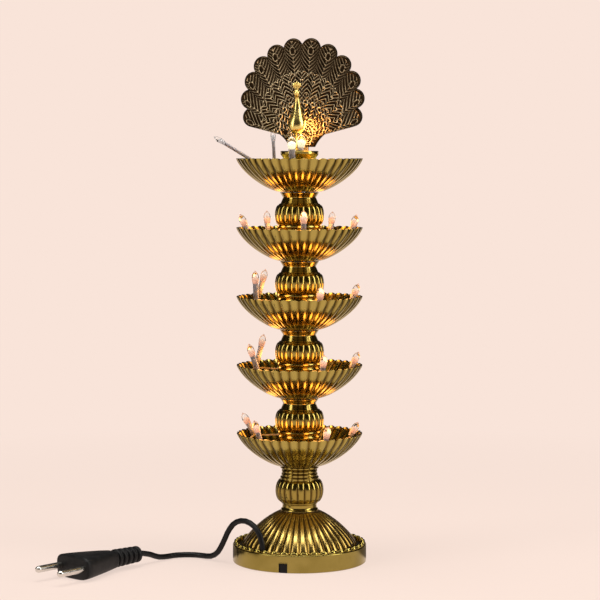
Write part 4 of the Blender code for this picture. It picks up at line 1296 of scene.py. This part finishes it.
def sides(owner, colour):
    """The colour all round the lamp but for two dark gaps beside it, which show in metal and not in view."""
    place = add_node(owner, "ShaderNodeTexCoord")
    bearing = add_node(owner, "ShaderNodeTexGradient")
    bearing.gradient_type = "RADIAL"
    kind = "Object" if isinstance(owner, bpy.types.Material) else "Generated"
    link(owner, place.outputs[kind], bearing.inputs["Vector"])
    edge = gap_half_width / 360
    end = (gap_half_width + gap_soft_width) / 360
    for turn in (-gap_turn, gap_turn):
        middle = (camera_turn + turn + 90) / 360 % 1
        shift = calculated(owner, "SUBTRACT", bearing.outputs["Fac"], middle)
        off = calculated(owner, "PINGPONG", shift, 0.5)
        colour = mixed(owner, spread(owner, off, 1.0, 0.0, edge, end), colour, gap_colour)
    return colour


def for_camera(owner, colour):
    """The pale colour in view, and the given one for all other rays."""
    rays = add_node(owner, "ShaderNodeLightPath")
    return mixed(owner, rays.outputs["Is Camera Ray"], colour, pale_peach)


def floor_material():
    """Pale floor that shows its own colour, and takes a soft shadow near the lamp."""
    material = new_material("pale_floor")
    material.node_tree.nodes.remove(shader_of(material))
    pale = add_node(material, "ShaderNodeRGB")
    pale.outputs["Color"].default_value = (*pale_peach, 1)
    lit = add_node(material, "ShaderNodeEmission")
    link(material, for_camera(material, sides(material, pale.outputs["Color"])), lit.inputs["Color"])
    link(material, seen_directly(material), lit.inputs["Strength"])
    matt = add_node(material, "ShaderNodeBsdfDiffuse", Color=(*pale_peach, 1))
    place = add_node(material, "ShaderNodeTexCoord")
    distance = add_node(material, "ShaderNodeVectorMath")
    distance.operation = "LENGTH"
    link(material, place.outputs["Object"], distance.inputs[0])
    share = spread(material, distance.outputs["Value"], shadow_share, 0.0, *shadow_reach)
    mix = add_node(material, "ShaderNodeMixShader")
    link(material, share, mix.inputs["Fac"])
    link(material, lit.outputs["Emission"], mix.inputs[1])
    link(material, matt.outputs["BSDF"], mix.inputs[2])
    link(material, mix.outputs["Shader"], material.node_tree.nodes["Material Output"].inputs["Surface"])
    return material


def add_floor():
    rows = []
    for radius in (near_axis, surround_radius):
        rows.append([around(radius, 360 * step / 64, -0.0002) for step in range(64)])
    floor = in_scene("floor", painted(skin("floor", rows), floor_material()))


def add_world():
    """Pale in view; in metal pale near the floor's height and dark higher up; dim as a light."""
    world = bpy.data.worlds.new("studio")
    bpy.context.scene.world = world
    world.use_nodes = True
    background = world.node_tree.nodes["Background"]
    place = add_node(world, "ShaderNodeTexCoord")
    split = add_node(world, "ShaderNodeSeparateXYZ")
    link(world, place.outputs["Generated"], split.inputs["Vector"])
    colour = ramp(world, split.outputs["Z"], [(dark_from[0], pale_peach), (dark_from[1], studio_dark)])
    link(world, for_camera(world, sides(world, colour)), background.inputs["Color"])
    link(world, spread(world, seen_directly(world), ambient, 1.0), background.inputs["Strength"])


def add_area_light(name, angle, elevation, size, power):
    light = bpy.data.lights.new(name, "AREA")
    light.shape = "RECTANGLE"
    light.size, light.size_y = size
    light.energy = power
    light.color = lamp_colour
    target = Vector((0, 0, light_target_height))
    rise = math.radians(elevation)
    place = around(light_distance * math.cos(rise), angle, light_distance * math.sin(rise)) + target
    aim = (target - place).to_track_quat("-Z", "Y").to_matrix().to_4x4()
    in_scene(name, light).matrix_world = Matrix.Translation(place) @ aim


def add_bulb_light(name, place, power):
    light = bpy.data.lights.new(name, "POINT")
    light.energy = power
    light.color = bulb_colour
    light.shadow_soft_size = bulb_light_radius
    in_scene(name, light).location = place


def add_lights():
    for name, turn, elevation, size, power in area_lights:
        add_area_light(name, camera_turn + turn, elevation, size, power)
    for tier, places in enumerate(bulb_places[:-1], 1):
        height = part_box(f"bowl_{tier}")[0].z + bowl_height + bulb_light_rise
        for number, (angle, lean, rise) in enumerate(places, 1):
            place = around(bulb_light_circle, angle, height)
            add_bulb_light(f"bulb_light_{tier}_{number}", place, bulb_light_power)
    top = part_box("finial_pedestal")[1].z
    for name, (x, y, rise), power in bird_lights:
        add_bulb_light(name, (x, y, top + rise), power)


def add_camera():
    camera = bpy.data.cameras.new("camera")
    camera.lens = camera_lens
    camera.sensor_width = 36
    camera.shift_x = camera_shift
    item = in_scene("camera", camera)
    item.location = around(camera_distance, camera_turn, camera_height)
    item.rotation_euler = (math.radians(90 - camera_pitch), 0, math.radians(camera_turn))
    bpy.context.scene.camera = item
    bpy.context.scene.view_settings.view_transform = "Standard"


add_camera()
add_cord_and_plug()
paint_frame_nodes()
add_stack()
add_base()
add_bulbs()
add_finial()
add_floor()
add_world()
add_lights()
